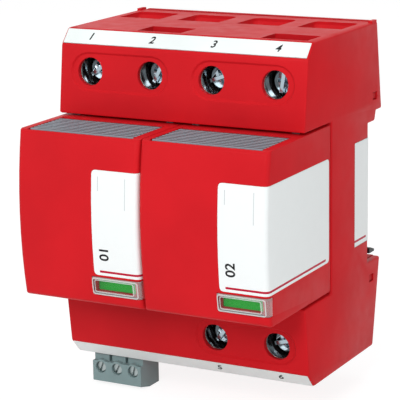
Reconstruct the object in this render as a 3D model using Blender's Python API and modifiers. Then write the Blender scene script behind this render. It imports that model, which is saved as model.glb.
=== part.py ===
"""DIN rail surge arrester: a four-way base with two plug-in protection modules.

Frame: X is the width, -Y is the front, +Z is up. The origin is the middle of the seat on the
35 mm rail. Sizes are in metres, written as millimetres times MM.
"""

import math

import bmesh
import bpy
from mathutils import Matrix, Vector

MM = 0.001

# Clearances
GAP = 0.3 * MM
SLIDE_GAP = 0.6 * MM
EDGE_GAP = 0.15 * MM
OVERCUT = 1.0 * MM
STEP = 0.1 * MM
NEAR = MM / 1000
BENT = 0.0001
FAR = 30.0 * MM

# Standard device outline
WAY_WIDTH = 18.0 * MM
WAYS = 4
MODULE_WAYS = 2
BASE_HEIGHT = 90.0 * MM
RAIL_HEIGHT = 35.0 * MM
RAIL_LIP = 1.0 * MM
RAIL_PLAY = 0.7 * MM

# Side outline of the base, seen from the right
BLOCK_HEIGHT = 22.2 * MM
BAY_FLOOR = -24.4 * MM
BLOCK_LIP = -40.8 * MM
BLOCK_FACE = -38.6 * MM
BEVEL_DEPTH = 3.5 * MM
BEVEL_HEIGHT = 3.9 * MM
TOP_REAR = 5.5 * MM
UPPER_REAR = 8.8 * MM
SHOULDER_RISE = 2.7 * MM
STEP_REAR = 5.0 * MM
STEP_SLOPE = 0.9 * MM
SEAT_PROUD = 0.4 * MM
LATCH_ROOM = 2.9 * MM
LOWER_REAR = 8.1 * MM
BOTTOM_REAR = 3.6 * MM
BASE_WALL = 1.8 * MM
BASE_ROUND = 0.6 * MM
COVER_FRONT = -2.0 * MM
UPPER_COVER_FRONT = 1.2 * MM
COVER_LIP = 1.5 * MM
LIP_RISE = 0.2 * MM
UPPER_TAB_DEPTH = 3.9 * MM
UPPER_TAB_RISE = 4.2 * MM
LOWER_TAB_DEPTH = 2.0 * MM
LOWER_TAB_DROP = 4.8 * MM
TAB_LENGTH = 2.2 * MM
TAB_HEIGHT = 1.5 * MM
TAB_DEPTH = 0.3 * MM
CORNER_TAB_WIDTH = 1.2 * MM
CORNER_TAB_LENGTH = 3.2 * MM
CORNER_TAB_RISE = 0.5 * MM
CORE_RIB = 1.6 * MM
CORE_FLOOR = 2.8 * MM

# Terminals
TERMINAL_DROP = 10.8 * MM
UPPER_TERMINALS = (0, 1, 2, 3)
LOWER_TERMINALS = (2, 3)
COMB_TERMINALS = (1, 3)
SCREW_HOLE = 7.4 * MM
SCREW_HEAD = 6.8 * MM
SCREW_HEAD_HEIGHT = 3.0 * MM
SCREW_SHANK = 4.8 * MM
SCREW_CHAMFER = 0.7 * MM
DRIVE_WIDTH = 1.0 * MM
DRIVE_LENGTH = 5.2 * MM
DRIVE_DEPTH = 1.6 * MM
CROSS_LENGTH = 3.8 * MM
CROSS_DEPTH = 1.3 * MM
HEAD_STOP = 1.2 * MM
CAGE_LAND = 3.2 * MM
CAGE_HEIGHT = 8.4 * MM
CAGE_NUT = 3.0 * MM
CAGE_SIDE = 1.2 * MM
CAGE_REAR_WALL = 1.4 * MM
CAGE_REAR = -2.6 * MM
CAGE_FRONT = -22.0 * MM
CAGE_BEVEL = 0.5 * MM
CAGE_TRAVEL = 6.4 * MM
PAIR_RECESS = 0.45 * MM
PAIR_RECESS_RADIUS = 4.7 * MM
PAIR_RECESS_FLARE = 0.9 * MM
PAIR_RECESS_REACH = 0.6 * MM
FUNNEL_LAND = 2.7 * MM
FUNNEL_DEPTH = 11.8 * MM
LOWER_FUNNEL_DEPTH = 9.4 * MM
FUNNEL_RIM = 0.8 * MM
FUNNEL_ROUND = 1.8 * MM
FUNNEL_NECK = 1.0 * MM
FUNNEL_FRONT = -12.4 * MM
FUNNEL_WALL = 1.4 * MM
WIRE_PLAY = 0.5 * MM
COMB_INSET = 1.3 * MM
COMB_LAND = 2.5 * MM
COMB_DEPTH = 8.6 * MM
COMB_WALL = 1.9 * MM
RIB_THICK = 1.2 * MM

# Metal strips
STRIP_THICK = 1.5 * MM
STRIP_CROSS = 3.0 * MM
STRIP_DROP = 1.6 * MM
STRIP_FRONT = -13.7 * MM
CARRIER_SETBACK = 1.3 * MM
STEM_WIDTH = 8.0 * MM
CONTACT_DROP = 10.8 * MM
CONTACT_SIZE = 8.0 * MM
CONTACT_BASE = 1.0 * MM
CONTACT_LEAF = 0.95 * MM
CONTACT_HALF = 2.5 * MM
CONTACT_FLARE = 1.2 * MM
CONTACT_MOUTH = 3.0 * MM
BLADE_THICK = 1.2 * MM
BLADE_SIZE = 8.0 * MM
BLADE_TIP = -15.5 * MM

# Marking strips on the base
MARK_THICK = 0.8 * MM
MARK_MARGIN = 0.6 * MM
SIDE_LABEL_FRONT = -9.4 * MM
SIDE_LABEL_BACK = -0.9 * MM
SIDE_LABEL_DROP = 8.5 * MM
SIDE_LABEL_RISE = 9.1 * MM
LABEL_THICK = 0.3 * MM

# Plug-in modules
MODULE_FRONT = -60.5 * MM
MODULE_BULGE = 2.0 * MM
MODULE_WALL = 1.6 * MM
FRONT_WALL_BACK = -58.6 * MM
CORNER_ROUND = 1.4 * MM
MODULE_ROUND = 0.5 * MM
REAR_PLATE = 2.0 * MM
LABEL_LEFT = 3.3 * MM
LABEL_REAR = -26.1 * MM
LABEL_DROP = 8.7 * MM
LABEL_RISE = 8.5 * MM
LABEL_ROUND = 1.0 * MM
WINDOW_LEFT = 2.4 * MM
WINDOW_REAR = -59.3 * MM
WINDOW_RISE = 3.0 * MM
WINDOW_HEIGHT = 4.7 * MM
WINDOW_PROUD = 0.4 * MM
WINDOW_SEAT = 0.9 * MM
FLAG_HOLE_LEFT = 3.9 * MM
FLAG_HOLE_LAND = 3.45 * MM
FLAG_HOLE_MARGIN = 0.6 * MM
FLAG_THICK = 1.0 * MM
FLAG_STEM = 2.0 * MM
FLAG_STEM_RISE = 6.5 * MM
FLAG_TRAVEL = 4.8 * MM
KEY_LAND = 2.55 * MM
KEY_FRONT = -59.5 * MM
KEY_REAR = -42.8 * MM
KEY_THICK = 1.6 * MM
KEY_RIB = 0.45 * MM
KEY_RIBS = 9
KEY_TRAVEL = 1.2 * MM
KEY_EDGE = 0.8 * MM
KEY_ARM = 2.0 * MM
KEY_ARM_THICK = 1.0 * MM
KEY_FOOT = 2.4 * MM
KEY_NOSE = 1.3 * MM
KEY_NOSE_SLOPE = 0.9 * MM
KEY_ARM_REAR = -36.9 * MM
SPARK_RADIUS = 12.5 * MM
SPARK_ROOM = 3.4 * MM
SPARK_CENTRE = -43.0 * MM
SPARK_STEP = 2.0 * MM
SPARK_STEP_HEIGHT = 2.2 * MM
SPARK_CHAMFER = 1.0 * MM
BLADE_ROOT = -29.8 * MM
BLADE_CORNER = 1.0 * MM
BLADE_STRIP = 1.4 * MM
BLADE_STRIP_FRONT = -48.0 * MM

# Rail fixing
HOOK_REACH = 1.9 * MM
HOOK_THICK = 2.4 * MM
HOOK_LEAD = 0.5 * MM
HOOK_INSET = 16.0 * MM
HOOK_WIDTH = 16.0 * MM
HOOK_CLEARANCE = 0.4 * MM
PAD_MARGIN = 1.0 * MM
LATCH_INSET = 11.0 * MM
LATCH_WIDTH = 10.0 * MM
LATCH_THICK = 2.8 * MM
LATCH_REACH = 0.8 * MM
LATCH_LENGTH = 24.3 * MM
LATCH_NOSE = 4.6 * MM
LATCH_NOSE_HEIGHT = 1.5 * MM
LATCH_NOSE_LEAD = 0.9 * MM
LATCH_SHOULDER = 1.0 * MM
LATCH_LIP = 1.6 * MM
LATCH_LIP_THICK = 1.1 * MM
LATCH_LIP_DROP = 6.6 * MM
LATCH_LIP_LENGTH = 6.0 * MM
TOOL_SLOT_WIDTH = 5.2 * MM
TOOL_SLOT_HEIGHT = 1.8 * MM
TOOL_SLOT_EDGE = 1.4 * MM
SPRING_RADIUS = 0.95 * MM
SPRING_WIRE = 0.22 * MM
SPRING_TURNS = 4
SPRING_DROP = 2.9 * MM
SPRING_LENGTH = 8.4 * MM
SPRING_FACETS = 9
PEG_WIDTH = 2.6 * MM
PEG_HEIGHT = 2.0 * MM

# Remote signal contact
PLUG_POLES = 3
PLUG_PITCH = 5.08 * MM
PLUG_INSET = 12.4 * MM
PLUG_FRONT = -35.4 * MM
PLUG_REAR = -25.5 * MM
PLUG_DROP = 9.1 * MM
PLUG_CHIN = 1.2 * MM
PLUG_SLOPE_END = -30.7 * MM
PLUG_LEDGE_DROP = 2.2 * MM
PLUG_LEDGE_STEP = 1.0 * MM
PLUG_GROOVE = 0.9 * MM
PLUG_GROOVE_DEPTH = 1.2 * MM
PLUG_GROOVE_LENGTH = 6.2 * MM
PLUG_SCREW_DROP = 1.7 * MM
PLUG_BOSS = 4.4 * MM
PLUG_SCREW = 3.0 * MM
PLUG_SCREW_SHANK = 1.8 * MM
PLUG_SCREW_SUNK = 0.6 * MM
PLUG_SCREW_HEAD = 1.4 * MM
PLUG_SCREW_REACH = 3.1 * MM
PLUG_DRIVE_WIDTH = 0.6 * MM
PLUG_DRIVE_DEPTH = 0.7 * MM
PLUG_TONGUE = 9.6 * MM
PLUG_TRAVEL = 12.0 * MM
PLUG_CLAMP_TRAVEL = 1.5 * MM
PLUG_WELL = 3.6 * MM
PLUG_FRONT_WALL = 2.6 * MM
PLUG_REAR_WALL = 1.4 * MM
PLUG_CLAMP_HEIGHT = 3.0 * MM
PLUG_CLAMP_SIDE = 0.4 * MM
PLUG_CLAMP_NUT = 1.2 * MM
PLUG_CLAMP_REAR = 0.6 * MM
WIRE_ENTRY = 3.4 * MM
PIN = 1.0 * MM
PIN_LENGTH = 3.1 * MM
HEADER_WALL = 1.2 * MM
HEADER_ROOF = 2.2 * MM
HEADER_RISE = 2.0 * MM
SLIDER_RISE = 4.4 * MM
SLIDER_SIZE = 2.2 * MM
SLIDER_FRONT = -20.0 * MM
SLIDER_THICK = 2.4 * MM
SLIDER_INSET = 5.2 * MM
SLIDER_END = 3.0 * MM
SLIDER_LEG = 3.0 * MM
PLUNGER = 2.0 * MM
PLUNGER_OFFSET = -6.0 * MM
PLUNGER_REACH = 1.8 * MM
SLIDER_TRAVEL = 2.0 * MM
SWITCH_WIDTH = 9.9 * MM
SWITCH_DEPTH = 6.4 * MM
SWITCH_RISE = 9.5 * MM
SWITCH_HEIGHT = 10.0 * MM
SWITCH_BEVEL = 0.4 * MM
BUTTON_WIDTH = 1.8 * MM
BUTTON_HEIGHT = 1.2 * MM
BUTTON_DROP = 2.0 * MM
BUTTON_PROUD = 0.6 * MM

# Values that follow from the sizes above
BASE_WIDTH = WAYS * WAY_WIDTH
HALF_WIDTH = BASE_WIDTH / 2
HALF_HEIGHT = BASE_HEIGHT / 2
BAY_HALF = HALF_HEIGHT - BLOCK_HEIGHT
INNER_HALF_WIDTH = HALF_WIDTH - BASE_WALL
INNER_HALF_HEIGHT = HALF_HEIGHT - BASE_WALL
RECESS_TOP = RAIL_HEIGHT / 2 + RAIL_PLAY
UPPER_SHOULDER = RECESS_TOP + SHOULDER_RISE
LOWER_SHOULDER = -RAIL_HEIGHT / 2 - LATCH_ROOM
UPPER_TAB = (UPPER_TAB_DEPTH, UPPER_SHOULDER + UPPER_TAB_RISE)
LOWER_TAB = (LOWER_TAB_DEPTH, LOWER_SHOULDER - LOWER_TAB_DROP)
TERMINAL_X = [(i - (WAYS - 1) / 2) * WAY_WIDTH for i in range(WAYS)]
MODULE_X = {"a": -MODULE_WAYS * WAY_WIDTH / 2, "b": MODULE_WAYS * WAY_WIDTH / 2}
FACE_LEAN = math.atan2(BLOCK_FACE - BLOCK_LIP, HALF_HEIGHT - BEVEL_HEIGHT - BAY_HALF)

TERMINAL_HEIGHT = HALF_HEIGHT - TERMINAL_DROP
CAGE_WIDTH = WAY_WIDTH - 2 * CAGE_LAND
FUNNEL_WIDTH = WAY_WIDTH - 2 * FUNNEL_LAND
COMB_WIDTH = WAY_WIDTH - 2 * COMB_LAND
WIRE_HOLE = CAGE_WIDTH - 2 * (CAGE_SIDE + WIRE_PLAY)
STRIP_TONGUE = WIRE_HOLE
POCKET_FRONT = CAGE_FRONT - CAGE_TRAVEL - GAP
HEAD_SEAT = POCKET_FRONT - HEAD_STOP
HEAD_BACK = HEAD_SEAT - GAP
HEAD_FRONT = HEAD_BACK - SCREW_HEAD_HEIGHT
STRIP_BACK = STRIP_FRONT + STRIP_THICK
STRIP_CROSS_LOW = TERMINAL_HEIGHT - CAGE_HEIGHT / 2 - STRIP_DROP - STRIP_CROSS
STRIP_CROSS_HIGH = STRIP_CROSS_LOW + STRIP_CROSS
CARRIER_BACK = STRIP_FRONT - CARRIER_SETBACK
COMB_FLOOR = TERMINAL_HEIGHT + SCREW_HOLE / 2 + COMB_WALL
THROAT = TERMINAL_HEIGHT + CAGE_HEIGHT / 2 + SLIDE_GAP
WIRE_CENTRE = STRIP_BACK + GAP / 3 + WIRE_HOLE / 2

CONTACT_HEIGHT = BAY_HALF - CONTACT_DROP
CONTACT_FRONT = BAY_FLOOR + BASE_WALL + GAP
CONTACT_BACK = STRIP_FRONT - GAP
SIDE_LABEL_LOW = (SIDE_LABEL_FRONT, SIDE_LABEL_RISE - BAY_HALF)
SIDE_LABEL_HIGH = (SIDE_LABEL_BACK, BAY_HALF - SIDE_LABEL_DROP)

MODULE_HALF_WIDTH = MODULE_WAYS * WAY_WIDTH / 2 - EDGE_GAP
MODULE_HALF_HEIGHT = BAY_HALF - SLIDE_GAP
MODULE_REAR = BAY_FLOOR - GAP
MODULE_INNER_WIDTH = MODULE_HALF_WIDTH - MODULE_WALL
MODULE_INNER_HEIGHT = MODULE_HALF_HEIGHT - MODULE_WALL
LABEL_TOP = MODULE_HALF_HEIGHT - LABEL_DROP
LABEL_BOTTOM = LABEL_RISE - MODULE_HALF_HEIGHT
WINDOW_BOTTOM = WINDOW_RISE - MODULE_HALF_HEIGHT
WINDOW_TOP = WINDOW_BOTTOM + WINDOW_HEIGHT
FLAG_HOLE_RIGHT = MODULE_HALF_WIDTH - FLAG_HOLE_LAND
FLAG_STEM_TOP = WINDOW_TOP + FLAG_STEM_RISE
KEY_WIDTH = 2 * (MODULE_HALF_WIDTH - KEY_LAND)
SPARK_HALF = MODULE_INNER_HEIGHT - SPARK_ROOM

CORE_PITCH = WAY_WIDTH / 2
CORE_WIDTH = CORE_PITCH - CORE_RIB
HOOK_CENTRE = HALF_WIDTH - HOOK_INSET
LATCH_CENTRE = HALF_WIDTH - LATCH_INSET
LATCH_BACK = GAP + LATCH_THICK
LATCH_TOP = LATCH_REACH - RAIL_HEIGHT / 2
LATCH_BOTTOM = LATCH_TOP - LATCH_LENGTH
LATCH_LIP_TOP = LOWER_SHOULDER - LATCH_LIP_DROP
LATCH_LIP_BOTTOM = LATCH_LIP_TOP - LATCH_LIP_LENGTH
SPRING_TOP = LOWER_SHOULDER - SPRING_DROP
SPRING_BOTTOM = SPRING_TOP - SPRING_LENGTH

PLUG_CENTRE = PLUG_INSET - HALF_WIDTH
PLUG_HALF_WIDTH = PLUG_POLES * PLUG_PITCH / 2
PLUG_LEFT = PLUG_CENTRE - PLUG_HALF_WIDTH
PLUG_RIGHT = PLUG_CENTRE + PLUG_HALF_WIDTH
PLUG_BOTTOM = -HALF_HEIGHT - PLUG_DROP
PLUG_FACE_BOTTOM = PLUG_BOTTOM + PLUG_CHIN
PLUG_LEDGE = -HALF_HEIGHT - PLUG_LEDGE_DROP
PLUG_SCREW_HEIGHT = PLUG_LEDGE - PLUG_SCREW_DROP
PLUG_GROOVE_TOP = PLUG_LEDGE + PLUG_GROOVE_LENGTH
PLUG_TONGUE_TOP = PLUG_LEDGE + PLUG_TONGUE
SOCKET_FRONT = PLUG_FRONT + PLUG_LEDGE_STEP
PIN_DEPTH = (SOCKET_FRONT + PLUG_REAR) / 2
PIN_END = PLUG_TONGUE_TOP - PIN_LENGTH
HEADER_BOTTOM = HEADER_RISE - INNER_HALF_HEIGHT
POLE_X = [PLUG_CENTRE + (i - (PLUG_POLES - 1) / 2) * PLUG_PITCH for i in range(PLUG_POLES)]
SWITCH_BOTTOM = SWITCH_RISE - HALF_HEIGHT
SWITCH_TOP = SWITCH_BOTTOM + SWITCH_HEIGHT
SWITCH_LEFT = GAP - INNER_HALF_WIDTH
SLIDER_HEIGHT = SLIDER_RISE - BAY_HALF
SLIDER_LEFT = SLIDER_INSET - INNER_HALF_WIDTH
SLIDER_RIGHT = MODULE_X["b"] + PLUNGER_OFFSET + SLIDER_END
SLIDER_LEG_END = SWITCH_TOP - BUTTON_DROP

RED = (0.64, 0.014, 0.03)
DARK_RED = (0.5, 0.012, 0.024)
BLACK = (0.012, 0.012, 0.014)
GREY = (0.25, 0.27, 0.28)
WHITE = (0.82, 0.83, 0.82)
ZINC = (0.62, 0.63, 0.65)
COPPER = (0.72, 0.38, 0.22)


# Scene and collections
def clear_scene():
    for old in list(bpy.data.objects):
        bpy.data.objects.remove(old)


def new_collection(name):
    collection = bpy.data.collections.new(name)
    bpy.context.scene.collection.children.link(collection)
    return collection


clear_scene()
PARTS = new_collection("din_rail_surge_arrester")
CUTTERS = new_collection("cutters")


def material(name, colour, roughness=0.4, metallic=0.0, alpha=1.0):
    made = bpy.data.materials.new(name)
    made.use_nodes = True
    shader = made.node_tree.nodes["Principled BSDF"]
    shader.inputs["Base Color"].default_value = (*colour, 1.0)
    shader.inputs["Roughness"].default_value = roughness
    shader.inputs["Metallic"].default_value = metallic
    shader.inputs["Alpha"].default_value = alpha
    return made


def keep(piece, finish, parent=None):
    """Put a finished piece among the parts, with a material of its own."""
    for collection in list(piece.users_collection):
        collection.objects.unlink(piece)
    PARTS.objects.link(piece)
    if not piece.data.materials:
        piece.data.materials.append(material(piece.name, *finish))
    if parent:
        piece.parent = parent
    return piece


def cutter(piece):
    """Mark a solid that only cuts or joins: it is not a part itself."""
    for collection in list(piece.users_collection):
        collection.objects.unlink(piece)
    CUTTERS.objects.link(piece)
    piece.hide_render = True
    piece.display_type = "WIRE"
    return piece


# Basic solids, made where they lie
def from_bmesh(name, bm):
    mesh = bpy.data.meshes.new(name)
    bm.to_mesh(mesh)
    bm.free()
    piece = bpy.data.objects.new(name, mesh)
    bpy.context.scene.collection.objects.link(piece)
    return piece


def boxes(name, corners):
    """One or more separate boxes, each from its lowest and highest corner."""
    bm = bmesh.new()
    for low, high in corners:
        low, high = Vector(low), Vector(high)
        place = Matrix.Translation((low + high) / 2) @ Matrix.Diagonal((*(high - low), 1.0))
        bmesh.ops.create_cube(bm, size=1.0, matrix=place)
    return from_bmesh(name, bm)


TURN = {
    "X": Matrix.Rotation(math.pi / 2, 4, "Y"),
    "Y": Matrix.Rotation(-math.pi / 2, 4, "X"),
    "Z": Matrix.Identity(4),
}


def rods(name, spans, segments=20):
    """Separate cylinders, each (start, length, radius, axis), from start along +axis."""
    bm = bmesh.new()
    for start, length, radius, axis in spans:
        middle = Vector(start) + TURN[axis].to_3x3() @ Vector((0, 0, length / 2))
        bmesh.ops.create_cone(bm, cap_ends=True, segments=segments, radius1=radius, radius2=radius,
                              depth=length, matrix=Matrix.Translation(middle) @ TURN[axis])
    return from_bmesh(name, bm)


PLANE = {
    "XY": Matrix.Identity(4),
    "YZ": Matrix(((0, 0, 1, 0), (1, 0, 0, 0), (0, 1, 0, 0), (0, 0, 0, 1))),
    "XZ": Matrix(((1, 0, 0, 0), (0, 0, -1, 0), (0, 1, 0, 0), (0, 0, 0, 1))),
}


def weld(mesh):
    bm = bmesh.new()
    bm.from_mesh(mesh)
    bmesh.ops.remove_doubles(bm, verts=bm.verts, dist=MM / 1000)
    bmesh.ops.recalc_face_normals(bm, faces=bm.faces)
    bm.to_mesh(mesh)
    bm.free()
    return mesh


def plate(name, outline, thickness, plane, offset=0.0):
    """A flat outline with thickness, as a filled 2D curve made a mesh. Offset is along its normal axis."""
    curve = bpy.data.curves.new(name, "CURVE")
    curve.dimensions = "2D"
    curve.fill_mode = "BOTH"
    curve.extrude = thickness / 2
    spline = curve.splines.new("POLY")
    spline.points.add(len(outline) - 1)
    for point, (u, v) in zip(spline.points, outline):
        point.co = (u, v, 0.0, 1.0)
    spline.use_cyclic_u = True
    drawn = bpy.data.objects.new(name, curve)
    bpy.context.scene.collection.objects.link(drawn)
    mesh = plain_mesh(drawn)
    bpy.data.objects.remove(drawn)
    normal = {"XY": (0, 0, offset), "YZ": (offset, 0, 0), "XZ": (0, offset, 0)}[plane]
    mesh.transform(Matrix.Translation(normal) @ PLANE[plane])
    weld(mesh)
    piece = bpy.data.objects.new(name, mesh)
    bpy.context.scene.collection.objects.link(piece)
    return piece


def plain_mesh(piece):
    """The piece as its modifiers leave it, as a mesh of its own."""
    bpy.context.view_layer.update()
    graph = bpy.context.evaluated_depsgraph_get()
    return bpy.data.meshes.new_from_object(piece.evaluated_get(graph))


def settle(piece):
    """Keep the result of a piece's modifiers as its mesh."""
    mesh = plain_mesh(piece)
    piece.modifiers.clear()
    piece.data = mesh
    return piece


def boolean(piece, other, operation="DIFFERENCE"):
    step = piece.modifiers.new(operation.lower(), "BOOLEAN")
    step.operation = operation
    step.solver = "EXACT"
    step.object = cutter(other)
    return piece


def bevel(piece, width, segments=2, angle=30.0):
    step = piece.modifiers.new("bevel", "BEVEL")
    step.width = width
    step.segments = segments
    step.limit_method = "ANGLE"
    step.angle_limit = math.radians(angle)
    return piece


def split_bent_faces(piece):
    """Split the faces that a bevel leaves slightly bent, since a cut through one can leave a crack."""
    settle(piece)
    bm = bmesh.new()
    bm.from_mesh(piece.data)
    bmesh.ops.connect_verts_nonplanar(bm, angle_limit=BENT, faces=bm.faces)
    bm.to_mesh(piece.data)
    bm.free()


def set_origin(piece, point):
    """Move the piece's origin to a point, and leave its shape where it is."""
    point = Vector(point)
    piece.data.transform(Matrix.Translation(-point))
    piece.location = point
    return piece


# Outlines
def inset(outline, distance):
    """An outline moved inwards by a distance. Its points run anticlockwise."""
    count = len(outline)
    lines = []
    for i in range(count):
        a, b = Vector(outline[i]), Vector(outline[(i + 1) % count])
        along = (b - a).normalized()
        normal = Vector((-along.y, along.x))
        lines.append((a + normal * distance, along))
    moved = []
    for i in range(count):
        (p, d), (q, e) = lines[i - 1], lines[i]
        cross = d.x * e.y - d.y * e.x
        step = ((q.x - p.x) * e.y - (q.y - p.y) * e.x) / cross
        moved.append(tuple(p + d * step))
    return moved


def arc(centre, radius, start, end, steps):
    """Points on an arc, angles in degrees."""
    points = []
    for i in range(steps + 1):
        angle = math.radians(start + (end - start) * i / steps)
        points.append((centre[0] + radius * math.cos(angle), centre[1] + radius * math.sin(angle)))
    return points


def mirrored(outline):
    """The outline upside down, with its points still anticlockwise."""
    return [(u, -v) for u, v in reversed(outline)]


# The base's side outline, in Y and Z
BLOCK_FRONT_UP = [(BLOCK_FACE + BEVEL_DEPTH, HALF_HEIGHT), (BLOCK_FACE, HALF_HEIGHT - BEVEL_HEIGHT),
                  (BLOCK_LIP, BAY_HALF)]
BAY = [(BAY_FLOOR, BAY_HALF), (BAY_FLOOR, -BAY_HALF)]
BLOCK_FRONT_DOWN = mirrored(BLOCK_FRONT_UP)
REAR_EDGE = [(BOTTOM_REAR, -HALF_HEIGHT), (LOWER_REAR, LOWER_SHOULDER), (-SEAT_PROUD, LOWER_SHOULDER),
             (-SEAT_PROUD, RECESS_TOP), (STEP_REAR - STEP_SLOPE, RECESS_TOP), (STEP_REAR, UPPER_SHOULDER),
             (UPPER_REAR, UPPER_SHOULDER), (TOP_REAR, HALF_HEIGHT)]
BASE_OUTLINE = BLOCK_FRONT_UP + BAY + BLOCK_FRONT_DOWN + REAR_EDGE


def face_depth(height):
    """Depth of the leaning front face of a block at a height."""
    return BLOCK_LIP + (abs(height) - BAY_HALF) * math.tan(FACE_LEAN)


def signed(height, side):
    """A pair of heights mirrored for the lower block, lowest first."""
    low, high = height
    return (low, high) if side > 0 else (-high, -low)


def both_blocks():
    """Each terminal as (x, side), with side +1 in the upper block and -1 in the lower one."""
    upper = [(TERMINAL_X[i], 1) for i in UPPER_TERMINALS]
    lower = [(TERMINAL_X[i], -1) for i in LOWER_TERMINALS]
    return upper + lower


# Base housing: a moulded shell, open at the back
def funnel_depth(side):
    return FUNNEL_DEPTH if side > 0 else LOWER_FUNNEL_DEPTH


def funnel_cutter(x, side):
    """A wire funnel: a square mouth with round back corners, narrowing to a round hole."""
    steps = 16
    half = FUNNEL_WIDTH / 2
    rear = FUNNEL_FRONT + funnel_depth(side)
    bend, across = rear - FUNNEL_ROUND, half - FUNNEL_ROUND
    mouth = [(x + half, (FUNNEL_FRONT + bend) / 2)]
    mouth += arc((x + across, bend), FUNNEL_ROUND, 0, 90, 4)
    mouth += [(x + across * share, rear) for share in (2 / 3, 1 / 3, 0, -1 / 3, -2 / 3)]
    mouth += arc((x - across, bend), FUNNEL_ROUND, 90, 180, 4)
    mouth += [(x - half, (FUNNEL_FRONT + bend) / 2)]
    mouth += [(x + half * share, FUNNEL_FRONT) for share in (-1, -1 / 2, 0, 1 / 2, 1)]
    hole = arc((x, WIRE_CENTRE), WIRE_HOLE / 2, 0, 180, steps)
    hole += arc((x, WIRE_CENTRE), WIRE_HOLE / 2, 210, 330, 4)
    levels = [(HALF_HEIGHT + OVERCUT, mouth), (HALF_HEIGHT - FUNNEL_RIM, mouth),
              (THROAT + FUNNEL_NECK, hole), (THROAT - OVERCUT, hole)]
    bm = bmesh.new()
    rings = []
    for height, outline in levels:
        verts = [bm.verts.new((u, v, side * height)) for u, v in outline]
        rings.append([bm.edges.new((verts[i - 1], verts[i])) for i in range(len(verts))])
    for upper, lower in zip(rings, rings[1:]):
        bmesh.ops.bridge_loops(bm, edges=upper + lower)
    bmesh.ops.contextual_create(bm, geom=rings[0])
    bmesh.ops.contextual_create(bm, geom=rings[-1])
    bmesh.ops.recalc_face_normals(bm, faces=bm.faces)
    return from_bmesh("funnel_cutter", bm)


def pair_recess(x, side):
    """The shallow round-ended dish around a pair of screw holes, square to the leaning face."""
    radius = PAIR_RECESS_RADIUS
    reach = WAY_WIDTH / 2 + PAIR_RECESS_REACH
    outline = arc((reach, 0), radius, -90, 90, 8) + arc((-reach, 0), radius, 90, 270, 8)
    piece = plate("pair_recess", outline, 2 * PAIR_RECESS, "XZ")
    for vertex in piece.data.vertices:
        if vertex.co.y < 0:
            middle = Vector((math.copysign(reach, vertex.co.x), vertex.co.y, 0))
            vertex.co += (vertex.co - middle).normalized() * PAIR_RECESS_FLARE
    height = side * TERMINAL_HEIGHT
    lean = Matrix.Rotation(-side * FACE_LEAN, 4, "X")
    piece.data.transform(Matrix.Translation((x, face_depth(height), height)) @ lean)
    return piece


def strip_box(name, depth, proud, margin):
    """A flat bar along the bevel of the upper block, from a depth in it to a height over it."""
    top, face = Vector((0, *BLOCK_FRONT_UP[0])), Vector((0, *BLOCK_FRONT_UP[1]))
    along = (top - face).normalized()
    outward = Vector((0, -along.z, along.y))
    middle = (top + face) / 2 + outward * (proud - depth) / 2
    turn = Matrix((Vector((1, 0, 0)), along, outward)).transposed().to_4x4()
    width = BASE_WIDTH - 2 * MARK_MARGIN - margin
    length = (top - face).length - MARK_MARGIN - margin
    size = Matrix.Diagonal((width, length, depth + proud, 1.0))
    bm = bmesh.new()
    bmesh.ops.create_cube(bm, size=1.0, matrix=Matrix.Translation(middle) @ turn @ size)
    return from_bmesh(name, bm)


def upside_down(piece):
    piece.data.transform(Matrix.Scale(-1, 4, (0, 0, 1)))
    piece.data.flip_normals()
    return piece


def housing_inside():
    """The hollow of the base, which runs out through the back between the side walls."""
    outline = BLOCK_FRONT_UP + BAY + BLOCK_FRONT_DOWN + [(FAR, -HALF_HEIGHT), (FAR, HALF_HEIGHT)]
    return plate("housing_inside", inset(outline, BASE_WALL), 2 * INNER_HALF_WIDTH, "YZ")


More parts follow.
